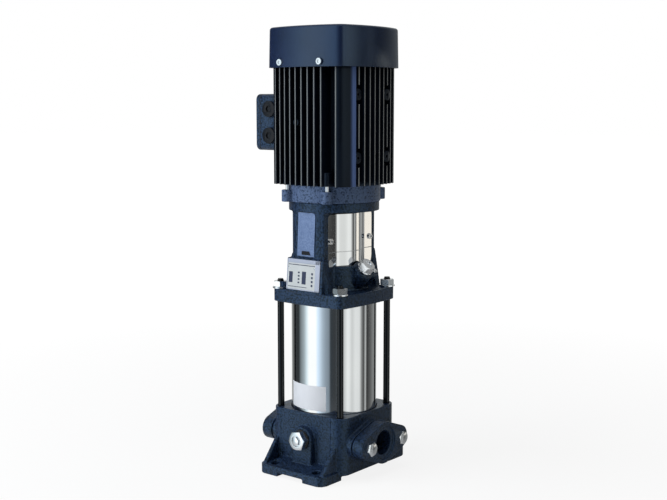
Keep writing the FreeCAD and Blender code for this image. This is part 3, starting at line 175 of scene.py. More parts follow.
def bumpNode(tree, shader, height, distance):
    node = tree.nodes.new("ShaderNodeBump")
    node.inputs["Distance"].default_value = distance
    tree.links.new(height, node.inputs["Height"])
    tree.links.new(node.outputs["Normal"], shader.inputs["Normal"])


# noises of the shared groups: scale, detail and roughness, as far as each one sets them
grainNoise = {"peel": (1.5, 0.45), "finer": 3.1, "fine": 2.0, "mottle": (28.0, 3.0)}
edgeNoise = {"samples": 4, "broken": (90.0, 3.0)}
brushNoise = {"lines": (1.0, 3.0, 0.6), "clouds": (16.0, 2.0)}


def makeGrainGroup():
    inputs = {"Scale": 600.0, "Tooth": 0.3}
    group, given, result = newGroup("paintGrain", inputs, ("Height", "Mottle"))
    place = group.nodes.new("ShaderNodeTexCoord").outputs["Object"]
    peel = noiseNode(group, place, given.outputs["Scale"], *grainNoise["peel"])
    fineScale = product(group, given.outputs["Scale"], grainNoise["finer"])
    fineNoise = noiseNode(group, place, fineScale, grainNoise["fine"])
    fine = product(group, fineNoise, given.outputs["Tooth"])
    group.links.new(mathNode(group, "ADD", peel, fine), result.inputs["Height"])
    group.links.new(noiseNode(group, place, *grainNoise["mottle"]), result.inputs["Mottle"])
    return group


# lighter edges: part wear, part painted highlight where light would catch the edges
def makeEdgeWearHighlightGroup():
    group, given, result = newGroup("edgeWearAndHighlight", {"Width": 0.0006, "Gain": 3.0}, ("Mask",))
    bevel = group.nodes.new("ShaderNodeBevel")
    bevel.samples = edgeNoise["samples"]
    group.links.new(given.outputs["Width"], bevel.inputs["Radius"])
    surface = group.nodes.new("ShaderNodeNewGeometry")
    dot = group.nodes.new("ShaderNodeVectorMath")
    dot.operation = "DOT_PRODUCT"
    group.links.new(bevel.outputs["Normal"], dot.inputs[0])
    group.links.new(surface.outputs["Normal"], dot.inputs[1])
    turn = mathNode(group, "SUBTRACT", 1.0, dot.outputs["Value"])
    place = group.nodes.new("ShaderNodeTexCoord").outputs["Object"]
    broken = noiseNode(group, place, *edgeNoise["broken"])
    mask = product(group, turn, given.outputs["Gain"], broken)
    group.links.new(clamped(group, mask), result.inputs["Mask"])
    return group


def makeBrushGroup():
    inputs = {"Across": 2600.0, "Along": 12.0}
    group, given, result = newGroup("brushed", inputs, ("Lines", "Clouds"))
    place = group.nodes.new("ShaderNodeTexCoord").outputs["Object"]
    stretch = group.nodes.new("ShaderNodeCombineXYZ")
    group.links.new(given.outputs["Across"], stretch.inputs["X"])
    group.links.new(given.outputs["Across"], stretch.inputs["Y"])
    group.links.new(given.outputs["Along"], stretch.inputs["Z"])
    scaled = group.nodes.new("ShaderNodeVectorMath")
    scaled.operation = "MULTIPLY"
    group.links.new(place, scaled.inputs[0])
    group.links.new(stretch.outputs[0], scaled.inputs[1])
    lines = noiseNode(group, scaled.outputs[0], *brushNoise["lines"])
    group.links.new(lines, result.inputs["Lines"])
    group.links.new(noiseNode(group, place, *brushNoise["clouds"]), result.inputs["Clouds"])
    return group


grainGroup = makeGrainGroup()
edgeWearHighlightGroup = makeEdgeWearHighlightGroup()
brushGroup = makeBrushGroup()

# paints
paints = {
    "castPaint": {
        "dark": (0.0012, 0.0032, 0.008), "light": (0.0170, 0.0340, 0.078),
        "edge": (0.060, 0.090, 0.150), "tint": (0.55, 0.80, 1.0), "rough": (0.26, 0.40),
        "scale": 420.0, "tooth": 0.35, "depth": 0.00060, "gloss": 0.50,
        "speckle": 6.0, "edgeGain": 2.6,
    },
    "shieldPaint": {
        "dark": (0.0110, 0.0220, 0.055), "light": (0.0850, 0.1250, 0.230),
        "edge": (0.130, 0.170, 0.250), "tint": (0.60, 0.82, 1.0), "rough": (0.28, 0.42),
        "scale": 380.0, "tooth": 0.5, "depth": 0.00070, "gloss": 0.45,
        "speckle": 6.0, "edgeGain": 2.6,
    },
    # painted reflection: the flat leg panel is painted a lighter blue where it mirrors the bright soft box
    "panelReflectionPaint": {
        "dark": (0.0700, 0.1150, 0.240), "light": (0.1700, 0.2400, 0.430),
        "edge": (0.160, 0.220, 0.360), "tint": (0.70, 0.85, 1.0), "rough": (0.20, 0.28),
        "scale": 520.0, "tooth": 0.2, "depth": 0.00008, "gloss": 0.80,
        "speckle": 1.2, "edgeGain": 1.0,
    },
    "finPaint": {
        "dark": (0.0012, 0.0020, 0.0045), "light": (0.0035, 0.0060, 0.0140),
        "edge": (0.030, 0.032, 0.036), "tint": (0.60, 0.80, 1.0), "rough": (0.28, 0.40),
        "scale": 900.0, "tooth": 0.3, "depth": 0.00012, "gloss": 0.24,
        "speckle": 1.5, "edgeGain": 2.0,
    },
    "coverPaint": {
        "dark": (0.0060, 0.0120, 0.034), "light": (0.0120, 0.0220, 0.064),
        "edge": (0.050, 0.070, 0.13), "tint": (0.55, 0.78, 1.0), "rough": (0.18, 0.26),
        "scale": 1400.0, "tooth": 0.2, "depth": 0.00005, "gloss": 0.66,
        "speckle": 1.0, "edgeGain": 1.2,
    },
    "rodPaint": {
        "dark": (0.0012, 0.0013, 0.0016), "light": (0.0030, 0.0032, 0.0040),
        "edge": (0.03, 0.03, 0.034), "tint": (0.9, 0.95, 1.0), "rough": (0.10, 0.18),
        "scale": 1500.0, "tooth": 0.2, "depth": 0.00001, "gloss": 0.35,
        "speckle": 1.0, "edgeGain": 1.2,
    },
}
coat = {"edgeWidth": 0.0007, "grainMiddle": 0.65}

# painted highlights: bright lines on the fins' tips, lighter on the faces towards ±X than on those towards ±Y, and
# a lighter band on the smooth corner block as a painted reflection
finTips = {
    "face": 69 * mm, "bow": 352 * mm, "pitch": 10.3 * mm, "line": (0.35 * mm, 0.9 * mm),
    "sink": 0.7 * mm, "full": 0.3, "front": (0.19, 0.20, 0.20), "side": (0.42, 0.43, 0.42),
    "panelStart": 36 * mm, "panelHighlight": (0.120, 0.190, 0.420), "band": (46.5 * mm, 41.0 * mm),
}


# painted highlights: lighter lines along the fins' tips, lighter still on the faces towards ±X, and a lighter band
# on the corner block, all set by position
def paintedTipHighlights(tree, colour, values):
    place = tree.nodes.new("ShaderNodeSeparateXYZ")
    tree.links.new(tree.nodes.new("ShaderNodeTexCoord").outputs["Object"], place.inputs[0])
    x, y = (mathNode(tree, "ABSOLUTE", place.outputs[axis]) for axis in "XY")
    across = mathNode(tree, "MINIMUM", x, y)
    bowed = mathNode(tree, "DIVIDE", product(tree, across, across), values["bow"])
    out = mathNode(tree, "ADD", mathNode(tree, "MAXIMUM", x, y), bowed)
    face, sink = values["face"], values["sink"]
    outermost = spanNode(tree, out, (face - sink, face - values["full"] * sink))
    step = mathNode(tree, "DIVIDE", across, values["pitch"])
    offStep = mathNode(tree, "SUBTRACT", step, mathNode(tree, "ROUND", step))
    lineEdges = [edge / values["pitch"] for edge in values["line"]]
    line = spanNode(tree, mathNode(tree, "ABSOLUTE", offStep), lineEdges, (1.0, 0.0))
    sideways = mathNode(tree, "GREATER_THAN", x, y)
    signed = product(tree, place.outputs["X"], place.outputs["Y"])
    opposite = mathNode(tree, "LESS_THAN", signed, 0.0)
    outer = mathNode(tree, "GREATER_THAN", across, values["panelStart"])
    block = product(tree, sideways, opposite, outer)
    tip = product(tree, outermost, line, mathNode(tree, "SUBTRACT", 1.0, block))
    # painted reflection: a lighter blue band across the smooth corner block
    lit = spanNode(tree, across, values["band"])
    shade = mixColour(tree, product(tree, lit, lit, block), colour, values["panelHighlight"])
    return mixColour(tree, tip, shade, mixColour(tree, sideways, values["front"], values["side"]))


def makePaint(name, values):
    material, tree, shader = newMaterial(name)
    grain = addGroup(tree, grainGroup, {"Scale": values["scale"], "Tooth": values["tooth"]})
    wearAndHighlight = addGroup(tree, edgeWearHighlightGroup, {"Width": coat["edgeWidth"], "Gain": values["edgeGain"]})
    raised = mathNode(tree, "SUBTRACT", grain.outputs["Height"], coat["grainMiddle"])
    speckle = product(tree, raised, values["speckle"])
    blotch = clamped(tree, mathNode(tree, "ADD", speckle, grain.outputs["Mottle"]))
    coatColour = mixColour(tree, blotch, values["dark"], values["light"])
    # edges lighter, as wear and as a painted highlight
    colour = mixColour(tree, wearAndHighlight.outputs["Mask"], coatColour, values["edge"])
    # the fin paint takes painted highlights on its tips and on its corner block
    if name == "finPaint":
        colour = paintedTipHighlights(tree, colour, finTips)
    rough = spanNode(tree, grain.outputs["Mottle"], wanted=values["rough"])
    tree.links.new(colour, shader.inputs["Base Color"])
    tree.links.new(rough, shader.inputs["Roughness"])
    gloss = {"Specular IOR Level": values["gloss"], "Specular Tint": (*values["tint"], 1.0)}
    setInputs(shader, gloss)
    bumpNode(tree, shader, grain.outputs["Height"], values["depth"])
    return material


# bare metals, brushed along Z
metals = {
    "polishedSteel": {
        "dark": (0.66, 0.67, 0.68), "light": (0.78, 0.78, 0.78), "rough": (0.05, 0.09),
        "across": 2600.0,
    },
    "guardSteel": {
        "dark": (0.74, 0.74, 0.74), "light": (0.84, 0.84, 0.83), "rough": (0.04, 0.07),
        "across": 2200.0,
    },
    "plainSteel": {
        "dark": (0.50, 0.50, 0.50), "light": (0.66, 0.66, 0.65), "rough": (0.22, 0.36),
        "across": 900.0,
    },
    "machinedSteel": {
        "dark": (0.40, 0.40, 0.41), "light": (0.56, 0.56, 0.56), "rough": (0.26, 0.40),
        "across": 1200.0,
    },
    "coreSteel": {
        "dark": (0.20, 0.20, 0.21), "light": (0.32, 0.32, 0.33), "rough": (0.45, 0.60),
        "across": 60.0,
    },
}
brushDepth = 0.000004


def makeMetal(name, values):
    material, tree, shader = newMaterial(name)
    brush = addGroup(tree, brushGroup, {"Across": values["across"]})
    colour = mixColour(tree, brush.outputs["Clouds"], values["dark"], values["light"])
    rough = spanNode(tree, brush.outputs["Lines"], wanted=values["rough"])
    tree.links.new(colour, shader.inputs["Base Color"])
    tree.links.new(rough, shader.inputs["Roughness"])
    shader.inputs["Metallic"].default_value = 1.0
    bumpNode(tree, shader, brush.outputs["Lines"], brushDepth)
    return material


# plated and sintered metals, and enamelled wire
platings = {
    "zinc": {"dark": (0.70, 0.73, 0.77), "light": (0.84, 0.86, 0.88), "rough": (0.10, 0.20)},
    "sintered": {"dark": (0.22, 0.22, 0.23), "light": (0.34, 0.34, 0.35), "rough": (0.38, 0.55)},
    "winding": {"dark": (0.34, 0.12, 0.05), "light": (0.52, 0.22, 0.10), "rough": (0.28, 0.45)},
}
plated = {
    "scale": 1100.0, "tooth": 0.6, "depth": 0.000008,
    "edge": (0.88, 0.89, 0.90), "edgeWidth": 0.0005, "edgeGain": 2.0,
}


def makePlating(name, values):
    material, tree, shader = newMaterial(name)
    grain = addGroup(tree, grainGroup, {"Scale": plated["scale"], "Tooth": plated["tooth"]})
    wearAndHighlight = addGroup(tree, edgeWearHighlightGroup, {"Width": plated["edgeWidth"], "Gain": plated["edgeGain"]})
    skin = mixColour(tree, grain.outputs["Height"], values["dark"], values["light"])
    # edges lighter, as wear and as a painted highlight
    colour = mixColour(tree, wearAndHighlight.outputs["Mask"], skin, plated["edge"])
    rough = spanNode(tree, grain.outputs["Height"], wanted=values["rough"])
    tree.links.new(colour, shader.inputs["Base Color"])
    tree.links.new(rough, shader.inputs["Roughness"])
    shader.inputs["Metallic"].default_value = 1.0
    bumpNode(tree, shader, grain.outputs["Height"], plated["depth"])
    return material


# rubber, carbon, plastic, label foil, and the nameplate's foil, frame and fields
mouldings = {
    "rubber": {
        "dark": (0.012, 0.012, 0.012), "light": (0.022, 0.022, 0.022), "rough": (0.55, 0.75),
    },
    "carbon": {
        "dark": (0.02, 0.02, 0.021), "light": (0.04, 0.04, 0.04), "rough": (0.35, 0.5),
    },
    "plastic": {
        "dark": (0.003, 0.004, 0.007), "light": (0.007, 0.008, 0.012), "rough": (0.22, 0.34),
        "gloss": 0.22,
    },
    "labelFoil": {
        "dark": (0.66, 0.68, 0.72), "light": (0.80, 0.81, 0.84), "rough": (0.30, 0.42),
        "scale": 300.0, "depth": 0.00001,
    },
    "plateSilver": {
        "dark": (0.44, 0.47, 0.48), "light": (0.62, 0.64, 0.64), "rough": (0.28, 0.42),
        "scale": 500.0, "depth": 0.00002,
    },
    "plateFrame": {
        "dark": (0.30, 0.34, 0.44), "light": (0.48, 0.52, 0.62), "rough": (0.28, 0.42),
        "scale": 500.0, "depth": 0.00002,
    },
    "plateInk": {
        "dark": (0.012, 0.018, 0.05), "light": (0.02, 0.03, 0.075), "rough": (0.35, 0.5),
        "scale": 500.0, "depth": 0.00001,
    },
}
mouldingTooth = 0.5


def makeMoulding(name, dark, light, rough, scale=900.0, depth=0.00004, gloss=0.5):
    material, tree, shader = newMaterial(name)
    grain = addGroup(tree, grainGroup, {"Scale": scale, "Tooth": mouldingTooth})
    colour = mixColour(tree, grain.outputs["Mottle"], dark, light)
    roughness = spanNode(tree, grain.outputs["Mottle"], wanted=rough)
    tree.links.new(colour, shader.inputs["Base Color"])
    tree.links.new(roughness, shader.inputs["Roughness"])
    shader.inputs["Specular IOR Level"].default_value = gloss
    bumpNode(tree, shader, grain.outputs["Height"], depth)
    return material


materials = {name: makePaint(name, values) for name, values in paints.items()}
materials.update({name: makeMetal(name, values) for name, values in metals.items()})
materials.update({name: makePlating(name, values) for name, values in platings.items()})
materials.update({name: makeMoulding(name, **values) for name, values in mouldings.items()})
print("materials:", len(materials))

slotMaterials = {
    "cast_paint": "castPaint", "motor_paint": "finPaint", "cover_paint": "coverPaint",
    "black_rod": "rodPaint", "stainless_polished": "polishedSteel",
    "stainless_plain": "plainSteel", "machined_steel": "machinedSteel",
    "core_steel": "coreSteel", "zinc": "zinc", "sintered": "sintered",
    "copper_winding": "winding", "rubber": "rubber", "carbon": "carbon",
    "fan_plastic": "plastic", "plate_metal": "plateSilver",
}

# how closely points are joined, in metres, and how flat faces have to lie to be merged
weld = {"turned": 1e-6, "cad": 2e-6, "flatDegrees": 0.5}


# mesh helpers
def addObject(name, mesh):
    thing = bpy.data.objects.new(name, mesh)
    scene.collection.objects.link(thing)
    return thing


def meshFrom(shape, name="working"):
    mesh = bpy.data.meshes.new(name)
    shape.to_mesh(mesh)
    shape.free()
    return mesh


def applied(thing):
    depsgraph = bpy.context.evaluated_depsgraph_get()
    mesh = bpy.data.meshes.new_from_object(thing.evaluated_get(depsgraph))
    bpy.data.objects.remove(thing)
    return mesh


def finished(name, mesh, material, sharp):
    mesh.materials.clear()
    mesh.materials.append(materials[material])
    mesh.shade_smooth()
    mesh.set_sharp_from_angle(angle=radians(sharp))
    return addObject(name, mesh)


def placePiece(name, mesh, material, nodes, sharp=32):
    piece = finished(name, mesh, material, sharp)
    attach(piece, nodeBody[nodes[0]])
    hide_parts(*nodes)
    return piece


def addTrim(name, mesh, material, node, sharp=32):
    piece = finished(name, mesh, material, sharp)
    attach(piece, nodeBody[node])
    return piece


def spun(degrees):
    return Matrix.Rotation(radians(degrees), 4, "Z")


def aimed(place, direction):
    turn = Vector((0, 0, 1)).rotation_difference(Vector(direction).normalized())
    return Matrix.Translation(place) @ turn.to_matrix().to_4x4()


def lathe(profile, steps, turn=360, closed=False):
    shape = bmesh.new()
    points = [shape.verts.new((radius, 0, height)) for radius, height in profile]
    edges = [shape.edges.new(pair) for pair in zip(points, points[1:])]
    if closed:
        edges.append(shape.edges.new((points[-1], points[0])))
    bmesh.ops.spin(
        shape, geom=points + edges, axis=(0, 0, 1), cent=(0, 0, 0), angle=radians(turn),
        steps=steps, use_merge=turn == 360,
    )
    bmesh.ops.remove_doubles(shape, verts=shape.verts, dist=weld["turned"])
    bmesh.ops.recalc_face_normals(shape, faces=shape.faces)
    return shape


# solid of revolution: the outline's two ends are closed to the axis
def turned(outline, steps):
    low, high = outline[0][1], outline[-1][1]
    return meshFrom(lathe([(0, low), *outline, (0, high)], steps))


def hexBlank(flats, low, high):
    shape = bmesh.new()
    corner = flats / sqrt(3)
    bmesh.ops.create_cone(
        shape, cap_ends=True, segments=6, radius1=corner, radius2=corner, depth=high - low,
        matrix=Matrix.Translation((0, 0, (low + high) / 2)) @ spun(30),
    )
    return meshFrom(shape)


def combined(first, second, operation):
    base, tool = addObject("base", first), addObject("tool", second)
    modifier = base.modifiers.new("boolean", "BOOLEAN")
    modifier.operation = operation
    modifier.object = tool
    modifier.solver = "EXACT"
    mesh = applied(base)
    bpy.data.objects.remove(tool)
    return mesh


def patterned(mesh, matrices):
    shape = bmesh.new()
    for matrix in matrices:
        part = mesh.copy()
        part.transform(matrix)
        shape.from_mesh(part)
        bpy.data.meshes.remove(part)
    return meshFrom(shape)


hexTrim = {"corner": 0.2 * mm, "crown": 0.3 * mm, "spare": 1 * mm}


def hexHead(flats, height, chamfer, bothEnds=False, bore=0.0):
    inscribed, spare = flats / 2, hexTrim["spare"]
    corner = flats / sqrt(3) + hexTrim["corner"]
    foot = [(inscribed - hexTrim["corner"], 0), (corner, chamfer)] if bothEnds else [(corner, 0)]
    crown = [(corner, height - chamfer), (inscribed - hexTrim["crown"], height)]
    blank = hexBlank(flats, -spare, height + spare)
    mesh = combined(blank, turned(foot + crown, 48), "INTERSECT")
    if bore:
        hole = turned([(bore, -spare), (bore, height + spare)], 32)
        mesh = combined(mesh, hole, "DIFFERENCE")
    return mesh


thread = {"crest": 0.2, "root": 0.6}  # where they end and start, in shares of the pitch


def threadProfile(radius, low, high, pitch, depth):
    points = []
    for turn in range(int((high - low) / pitch)):
        start = low + turn * pitch
        root = (radius - depth, start + thread["root"] * pitch)
        points += [(radius, start), (radius, start + thread["crest"] * pitch), root]
    return points


def cadCopy(node):
    shape = bmesh.new()
    shape.from_mesh(frame["nodes"][node].data)
    bmesh.ops.remove_doubles(shape, verts=shape.verts, dist=weld["cad"])
    bmesh.ops.dissolve_limit(
        shape, angle_limit=radians(weld["flatDegrees"]), verts=shape.verts, edges=shape.edges
    )
    return meshFrom(shape, node)


# castings
castings = {
    "pump_base": {
        "name": "baseCasting", "paint": "castPaint", "voxel": 0.9 * mm, "soften": 3, "keep": 0.55,
    },
    "motor_stool": {
        "name": "stoolCasting", "paint": "castPaint", "voxel": 0.9 * mm, "soften": 3, "keep": 0.55,
    },
    "motor_shield": {
        "name": "shieldCasting", "paint": "shieldPaint", "voxel": 0.9 * mm, "soften": 2, "keep": 0.6,
    },
    "discharge_flange": {
        "name": "dischargeFlange", "paint": "castPaint", "voxel": 0.7 * mm, "soften": 3, "keep": 0.5,
    },
    "suction_flange": {
        "name": "suctionFlange", "paint": "castPaint", "voxel": 0.7 * mm, "soften": 3, "keep": 0.5,
    },
    "terminal_box_lid": {
        "name": "terminalBoxLid", "paint": "castPaint", "voxel": 0.5 * mm, "soften": 2, "keep": 0.4,
    },
}
castSkin = {"smoothing": 0.5, "sharp": 60}


def makeCasting(node, values):
    thing = addObject(values["name"], cadCopy(node))
    remesh = thing.modifiers.new("skin", "REMESH")
    remesh.mode = "VOXEL"
    remesh.voxel_size = values["voxel"]
    smooth = thing.modifiers.new("soften", "SMOOTH")
    smooth.factor = castSkin["smoothing"]
    smooth.iterations = values["soften"]
    thin = thing.modifiers.new("thin", "DECIMATE")
    thin.ratio = values["keep"]
    mesh = applied(thing)
    piece = placePiece(values["name"], mesh, values["paint"], [node], castSkin["sharp"])
    print(values["name"], len(piece.data.polygons), "faces")


for node, values in castings.items():
    makeCasting(node, values)
print("castings made")

# CAD nodes that keep their shape and get broken edges
broken = {
    "stator_housing": ("statorHousing", "finPaint", 0.35 * mm),
    "fan_cover": ("fanCover", "coverPaint", 0.3 * mm),
    "terminal_box": ("terminalBox", "castPaint", 0.5 * mm),
    "terminal_box_screws": ("terminalBoxScrews", "rodPaint", 0.2 * mm),
    "entry_plugs": ("entryPlugs", "plastic", 0.4 * mm),
    "seal_housing": ("sealHousing", "castPaint", 0.4 * mm),
    "coupling_half_a": ("couplingHalfA", "sintered", 0.4 * mm),
    "coupling_half_b": ("couplingHalfB", "sintered", 0.4 * mm),
    "cooling_fan": ("coolingFan", "plastic", 0.4 * mm),
}
edgeBreak = {"segments": 2, "limit": 40, "sharp": 30}  # the last two in degrees


def breakEdges(node, name, material, width):
    thing = addObject(name, cadCopy(node))
    bevel = thing.modifiers.new("edges", "BEVEL")
    bevel.width = width
    bevel.segments = edgeBreak["segments"]
    bevel.limit_method = "ANGLE"
    bevel.angle_limit = radians(edgeBreak["limit"])
    bevel.use_clamp_overlap = True
    bevel.miter_outer = "MITER_ARC"
    placePiece(name, applied(thing), material, [node], edgeBreak["sharp"])


for node, (name, material, width) in broken.items():
    breakEdges(node, name, material, width)
print("edges broken on", len(broken), "nodes")

# outer sleeve: drawn tube with slightly rolled ends
sleeve = {"wall": 1.5 * mm, "roll": 0.5 * mm, "steps": 160}


def makeSleeve(values):
    low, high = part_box("outer_sleeve")
    outer, inner, roll = high.x, high.x - values["wall"], values["roll"]
    profile = [
        (inner, low.z), (outer - roll, low.z), (outer, low.z + roll),
        (outer, high.z - roll), (outer - roll, high.z), (inner, high.z),
    ]
    shape = lathe(profile, values["steps"], closed=True)
    placePiece("outerSleeve", meshFrom(shape), "polishedSteel", ["outer_sleeve"], sharp=40)


makeSleeve(sleeve)

# stay bolts with their nuts and washers
stay = {
    "radius": 4.5 * mm, "threadPitch": 1.5 * mm, "threadDepth": 0.55 * mm,
    "threadRun": 16.0 * mm, "threadStop": 1.0 * mm, "point": 0.9 * mm,
    "flats": 17 * mm, "chamfer": 1.1 * mm, "nutPlay": 0.05 * mm, "nutTurns": (18, 47, 31, 5),
    "washerPlay": 0.7 * mm, "washerEdge": 0.25 * mm,
}


def makeStays(values):
    low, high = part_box("stay_bolts")
    nutLow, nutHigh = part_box("stay_nuts")
    washerLow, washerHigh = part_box("stay_washers")
    radius = values["radius"]
    offset = high.x - radius
    corners = [(sx, sy) for sx in (1, -1) for sy in (1, -1)]
    spots = [Matrix.Translation((offset * sx, offset * sy, 0)) for sx, sy in corners]
    start, stop = high.z - values["threadRun"], high.z - values["threadStop"]
    outline = [(radius, low.z), (radius, start)]
    outline += threadProfile(radius, start, stop, values["threadPitch"], values["threadDepth"])
    outline += [(radius - values["point"], high.z)]
    bolts = patterned(turned(outline, 32), spots)
    placePiece("stayBolts", bolts, "rodPaint", ["stay_bolts"], sharp=50)

    tall, bore = nutHigh.z - nutLow.z, radius + values["nutPlay"]
    nut = hexHead(values["flats"], tall, values["chamfer"], bothEnds=True, bore=bore)
    nut.transform(Matrix.Translation((0, 0, nutLow.z)))
    nutSpots = [spot @ spun(turn) for spot, turn in zip(spots, values["nutTurns"])]
    placePiece("stayNuts", patterned(nut, nutSpots), "zinc", ["stay_nuts"], sharp=30)

    inner, outer, edge = radius + values["washerPlay"], washerHigh.x - offset, values["washerEdge"]
    ring = [
        (inner, washerLow.z), (outer - edge, washerLow.z), (outer, washerLow.z + edge),
        (outer, washerHigh.z - edge), (outer - edge, washerHigh.z), (inner, washerHigh.z),
    ]
    washers = patterned(meshFrom(lathe(ring, 48, closed=True)), spots)
    placePiece("stayWashers", washers, "zinc", ["stay_washers"], sharp=30)


makeStays(stay)

# port bolts
portBolts = {
    "flats": 17 * mm, "chamfer": 1.0 * mm, "offset": 35 * mm, "turns": (12, 40, 25, 50),
    "shank": ((4.5 * mm, -32.0 * mm), (4.5 * mm, 0.5 * mm)),
}


def makePortBolts(values):
    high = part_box("flange_bolts")[1]
    flangeLow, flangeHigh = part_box("discharge_flange")
    seat, middle = flangeHigh.x, (flangeLow.z + flangeHigh.z) / 2
    head = hexHead(values["flats"], high.x - seat, values["chamfer"])
    bolt = combined(head, turned(values["shank"], 32), "UNION")
    places = [(side, y) for side in (1, -1) for y in (values["offset"], -values["offset"])]
    spots = [
        aimed((side * seat, y, middle), (side, 0, 0)) @ spun(turn)
        for (side, y), turn in zip(places, values["turns"])
    ]
    placePiece("portBolts", patterned(bolt, spots), "zinc", ["flange_bolts"], sharp=30)


makePortBolts(portBolts)

# drain plug with its bypass screw; the pocket's heights are from the head's face
drain = {
    "flats": 24 * mm, "chamfer": 1.2 * mm, "turn": 8, "shank": 10.4 * mm, "overlap": 0.4 * mm,
    "pocket": (
        (4.1 * mm, -12 * mm), (4.1 * mm, -2.1 * mm), (7.2 * mm, -2.0 * mm), (8.0 * mm, 1 * mm),
    ),
}
bypass = {
    "flats": 11 * mm, "chamfer": 0.7 * mm, "turn": 20, "sunk": 2 * mm,
    "stem": ((4.0 * mm, -7.9 * mm), (4.0 * mm, 0.3 * mm)),
}


def makeDrain(values, screwValues):
    low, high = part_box("drain_plug")
    middle = (low.z + high.z) / 2
    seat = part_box("drain_gasket")[0].y
    tall = seat - low.y
    shank = turned([(values["shank"], seat - high.y), (values["shank"], values["overlap"])], 48)
    plug = combined(hexHead(values["flats"], tall, values["chamfer"]), shank, "UNION")
    pocket = turned([(radius, tall + height) for radius, height in values["pocket"]], 48)
    plug = combined(plug, pocket, "DIFFERENCE")
    plug.transform(aimed((0, seat, middle), (0, -1, 0)) @ spun(values["turn"]))
    placePiece("drainPlug", plug, "zinc", ["drain_plug"], sharp=30)

    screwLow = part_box("bypass_screw")[0]
    screwSeat = seat - tall + screwValues["sunk"]
    head = hexHead(screwValues["flats"], screwSeat - screwLow.y, screwValues["chamfer"])
    screw = combined(head, turned(screwValues["stem"], 32), "UNION")
    screw.transform(aimed((0, screwSeat, middle), (0, -1, 0)) @ spun(screwValues["turn"]))
    placePiece("bypassScrew", screw, "zinc", ["bypass_screw"], sharp=30)


makeDrain(drain, bypass)

# priming plug and vent screw, both leaning out at 45 degrees
lean = (1, 0, 1)
priming = {
    "flats": 19 * mm, "tall": 9 * mm, "chamfer": 1.2 * mm, "turn": 10,
    "collar": 3 * mm, "collarReach": 1.5 * mm, "collarFoot": 0.4 * mm, "collarTop": 0.6 * mm,
    "shank": 9 * mm, "shankLength": 16 * mm, "neck": 8 * mm, "overlap": 0.5 * mm,
    "dimple": ((4.2 * mm, 10.5 * mm), (5.4 * mm, 13 * mm)),
}
vent = {
    "flats": 8 * mm, "tall": 5 * mm, "chamfer": 0.6 * mm, "turn": 15,
    "stem": ((3 * mm, -16 * mm), (3 * mm, 0.3 * mm)),
}


def jointPlace(name):
    return Vector(next(joint for joint in frame["joints"] if joint["name"] == name)["pos_m"])


def makePriming(values):
    collar, foot, top = values["collar"], values["collarFoot"], values["collarTop"]
    head = hexHead(values["flats"], values["tall"], values["chamfer"])
    head.transform(Matrix.Translation((0, 0, collar)))
    wide = values["flats"] / 2 + values["collarReach"]
    outline = [(values["shank"], -values["shankLength"]), (values["shank"], 0), (wide - foot, 0)]
    outline += [(wide, foot), (wide, collar - top), (wide - top, collar)]
    outline += [(values["neck"], collar + values["overlap"])]
    plug = combined(head, turned(outline, 48), "UNION")
    plug = combined(plug, turned(values["dimple"], 32), "DIFFERENCE")
    plug.transform(aimed(jointPlace("priming_plug_turn"), lean) @ spun(values["turn"]))
    placePiece("primingPlug", plug, "zinc", ["priming_plug"], sharp=30)


def makeVent(values):
    head = hexHead(values["flats"], values["tall"], values["chamfer"])
    screw = combined(head, turned(values["stem"], 24), "UNION")
    screw.transform(aimed(jointPlace("vent_screw_turn"), lean) @ spun(values["turn"]))
    placePiece("ventScrew", screw, "zinc", ["vent_screw"], sharp=30)


makePriming(priming)
makeVent(vent)
print("plugs and bolts made")


def slab(x, y, z, soft=0.0, edges=None):
    shape = bmesh.new()
    size = Vector((x[1] - x[0], y[1] - y[0], z[1] - z[0]))
    middle = Vector(((x[0] + x[1]) / 2, (y[0] + y[1]) / 2, (z[0] + z[1]) / 2))
    matrix = Matrix.Translation(middle) @ Matrix.Diagonal((*size, 1.0))
    bmesh.ops.create_cube(shape, size=1.0, matrix=matrix)
    if soft:
        chosen = [edge for edge in shape.edges if edges is None or edges(edge)]
        bmesh.ops.bevel(shape, geom=chosen, offset=soft, segments=4, profile=0.5, affect="EDGES")
    return shape


def upright(points, low, high):
    shape = bmesh.new()
    face = shape.faces.new([shape.verts.new((x, y, low)) for x, y in points])
    swept = bmesh.ops.extrude_face_region(shape, geom=[face])["geom"]
    raised = [item for item in swept if isinstance(item, bmesh.types.BMVert)]
    bmesh.ops.translate(shape, verts=raised, vec=(0, 0, high - low))
    bmesh.ops.recalc_face_normals(shape, faces=shape.faces)
    return meshFrom(shape)


def tube(points, radius):
    data = bpy.data.curves.new("path", "CURVE")
    data.dimensions = "3D"
    data.bevel_depth = radius
    data.bevel_resolution = 2
    line = data.splines.new("POLY")
    line.points.add(len(points) - 1)
    for point, place in zip(line.points, points):
        point.co = (*place, 1.0)
    return applied(addObject("path", data))


# coupling guards: bowed sheet with flat flanges, a bead across, and notches for the bosses
guard = {
    "nodes": {
        "coupling_guard_front": ("guardFront", 1), "coupling_guard_rear": ("guardRear", -1),
    },
    "face": 28.4 * mm, "bulge": 38.5 * mm, "sheet": 1.0 * mm,
    "wide": 33 * mm, "blend": 7 * mm, "arcSteps": 120, "lean": 1.5,  # lean in degrees
    "corner": 5 * mm, "outermost": 60 * mm, "bead": 303.4 * mm, "beadRadius": 0.55 * mm,
    "notches": {"priming_plug_turn": 17 * mm, "vent_screw_turn": 9 * mm}, "notchReach": 40 * mm,
}


def guardArc(values, radius, face):
    steps, blend, wide = values["arcSteps"], values["blend"], values["wide"]
    points = []
    for k in range(steps + 1):
        y = wide * (2 * k / steps - 1)
        bow = sqrt(radius ** 2 - y ** 2)
        near = max(blend - abs(bow - face), 0) / blend
        points.append((max(bow, face) + near ** 2 * blend / 4, y))
    return points


